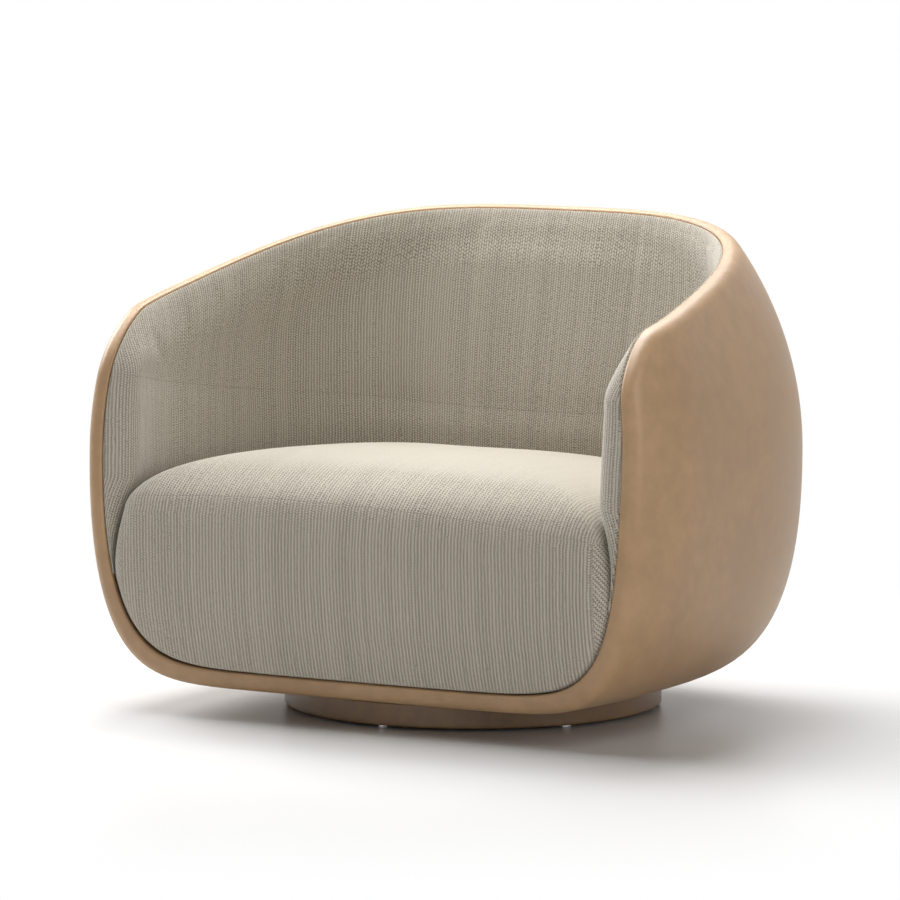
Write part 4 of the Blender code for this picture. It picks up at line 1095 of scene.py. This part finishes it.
def puff(piece, pressure, most):
    """Inflates a piece's cloth between its pinned seams and edges; no point moves more than most.

    Pins follow the attribute give, from 0, held, to 1, free. A move m becomes most * tanh(m / most).
    """
    count = len(piece.data.vertices)
    give, start, end = np.empty(count, np.float32), np.empty(count * 3), np.empty(count * 3)
    piece.data.attributes["give"].data.foreach_get("value", give)
    piece.data.vertices.foreach_get("co", start)
    hold = np.round(1 - give, 1)
    pins = piece.vertex_groups.new(name="pins")
    for weight in np.unique(hold):
        pins.add(np.flatnonzero(hold == weight).tolist(), float(weight), "REPLACE")
    cloth = piece.modifiers.new("cloth", "CLOTH")
    settings = cloth.settings
    settings.vertex_group_mass = "pins"
    settings.quality, settings.mass = 5, 0.3
    settings.tension_stiffness = settings.compression_stiffness = 12
    settings.shear_stiffness, settings.bending_stiffness = 6, 0.6
    settings.shrink_min = -0.004
    settings.use_pressure, settings.uniform_pressure_force = True, pressure
    settings.effector_weights.gravity = 0
    cloth.collision_settings.use_collision = False
    cloth.point_cache.frame_start, cloth.point_cache.frame_end = 1, CLOTH_FRAMES
    for moment in range(1, CLOTH_FRAMES + 1):
        bpy.context.scene.frame_set(moment)
    graph = bpy.context.evaluated_depsgraph_get()
    piece.evaluated_get(graph).data.vertices.foreach_get("co", end)
    moved = (end - start).reshape(-1, 3)
    length = np.maximum(np.linalg.norm(moved, axis=1, keepdims=True), 1e-9)
    placed = start.reshape(-1, 3) + moved * most * np.tanh(length / most) / length
    piece.modifiers.clear()
    piece.vertex_groups.clear()
    piece.data.vertices.foreach_set("co", placed.ravel())
    piece.data.update()
    bpy.context.scene.frame_set(1)


def subdivide(piece):
    """One level of subdivision that leaves the weave's coordinates."""
    modifier = piece.modifiers.new("subdivision", "SUBSURF")
    modifier.levels = modifier.render_levels = 1
    modifier.uv_smooth = "NONE"


add_camera()
add_studio()

TAN = leather_finish("tan_leather", (0.435, 0.268, 0.134), (0.350, 0.209, 0.100), 0.41)
BROWN = leather_finish("dark_brown_leather", (0.25, 0.145, 0.060), (0.17, 0.094, 0.040), 0.38)
PAD_CLOTH = weave_finish("ribbed_cloth_pad", pad_seams)
SEAT_CLOTH = weave_finish("ribbed_cloth_seat", seat_seams)

dress(make_leather_shell(), TAN, "seat", "shell_leather", "leather_cover")
dress(make_plinth_wrap(), BROWN, "base", "plinth_leather", "plinth_wrap")

pad = make_pad()
puff(pad, 4.0, 0.0015)
subdivide(pad)
dress(pad, PAD_CLOTH, "seat", "woven_fabric", "arm_and_back_pad")

seat = make_seat()
puff(seat, 4.0, 0.0018)
subdivide(seat)
dress(seat, SEAT_CLOTH, "seat", "woven_fabric", "seat_cushion")

FINISHES = {
    "moulded_ply": wood_finish("moulded_plywood", (0.36, 0.29, 0.20), (0.24, 0.18, 0.12), ply=True),
    "frame_wood": wood_finish("sawn_beech", (0.52, 0.38, 0.24), (0.38, 0.26, 0.15)),
    "webbing": webbing_finish(),
    "steel": metal_finish("zinc_plated_steel", (0.58, 0.58, 0.59), 0.38, 0.8),
    "bright_steel": metal_finish("bright_steel", (0.76, 0.76, 0.77), 0.18, 0.2),
    "cage_plastic": nylon_finish(),
}
SLOTS = {part["node"]: part["material_slot"] for part in frame["record"]["subparts"]}
for name, node in frame["nodes"].items():
    if SLOTS[name] in FINISHES:
        node.data.materials.clear()
        node.data.materials.append(FINISHES[SLOTS[name]])

bpy.context.scene.view_settings.view_transform = "Standard"
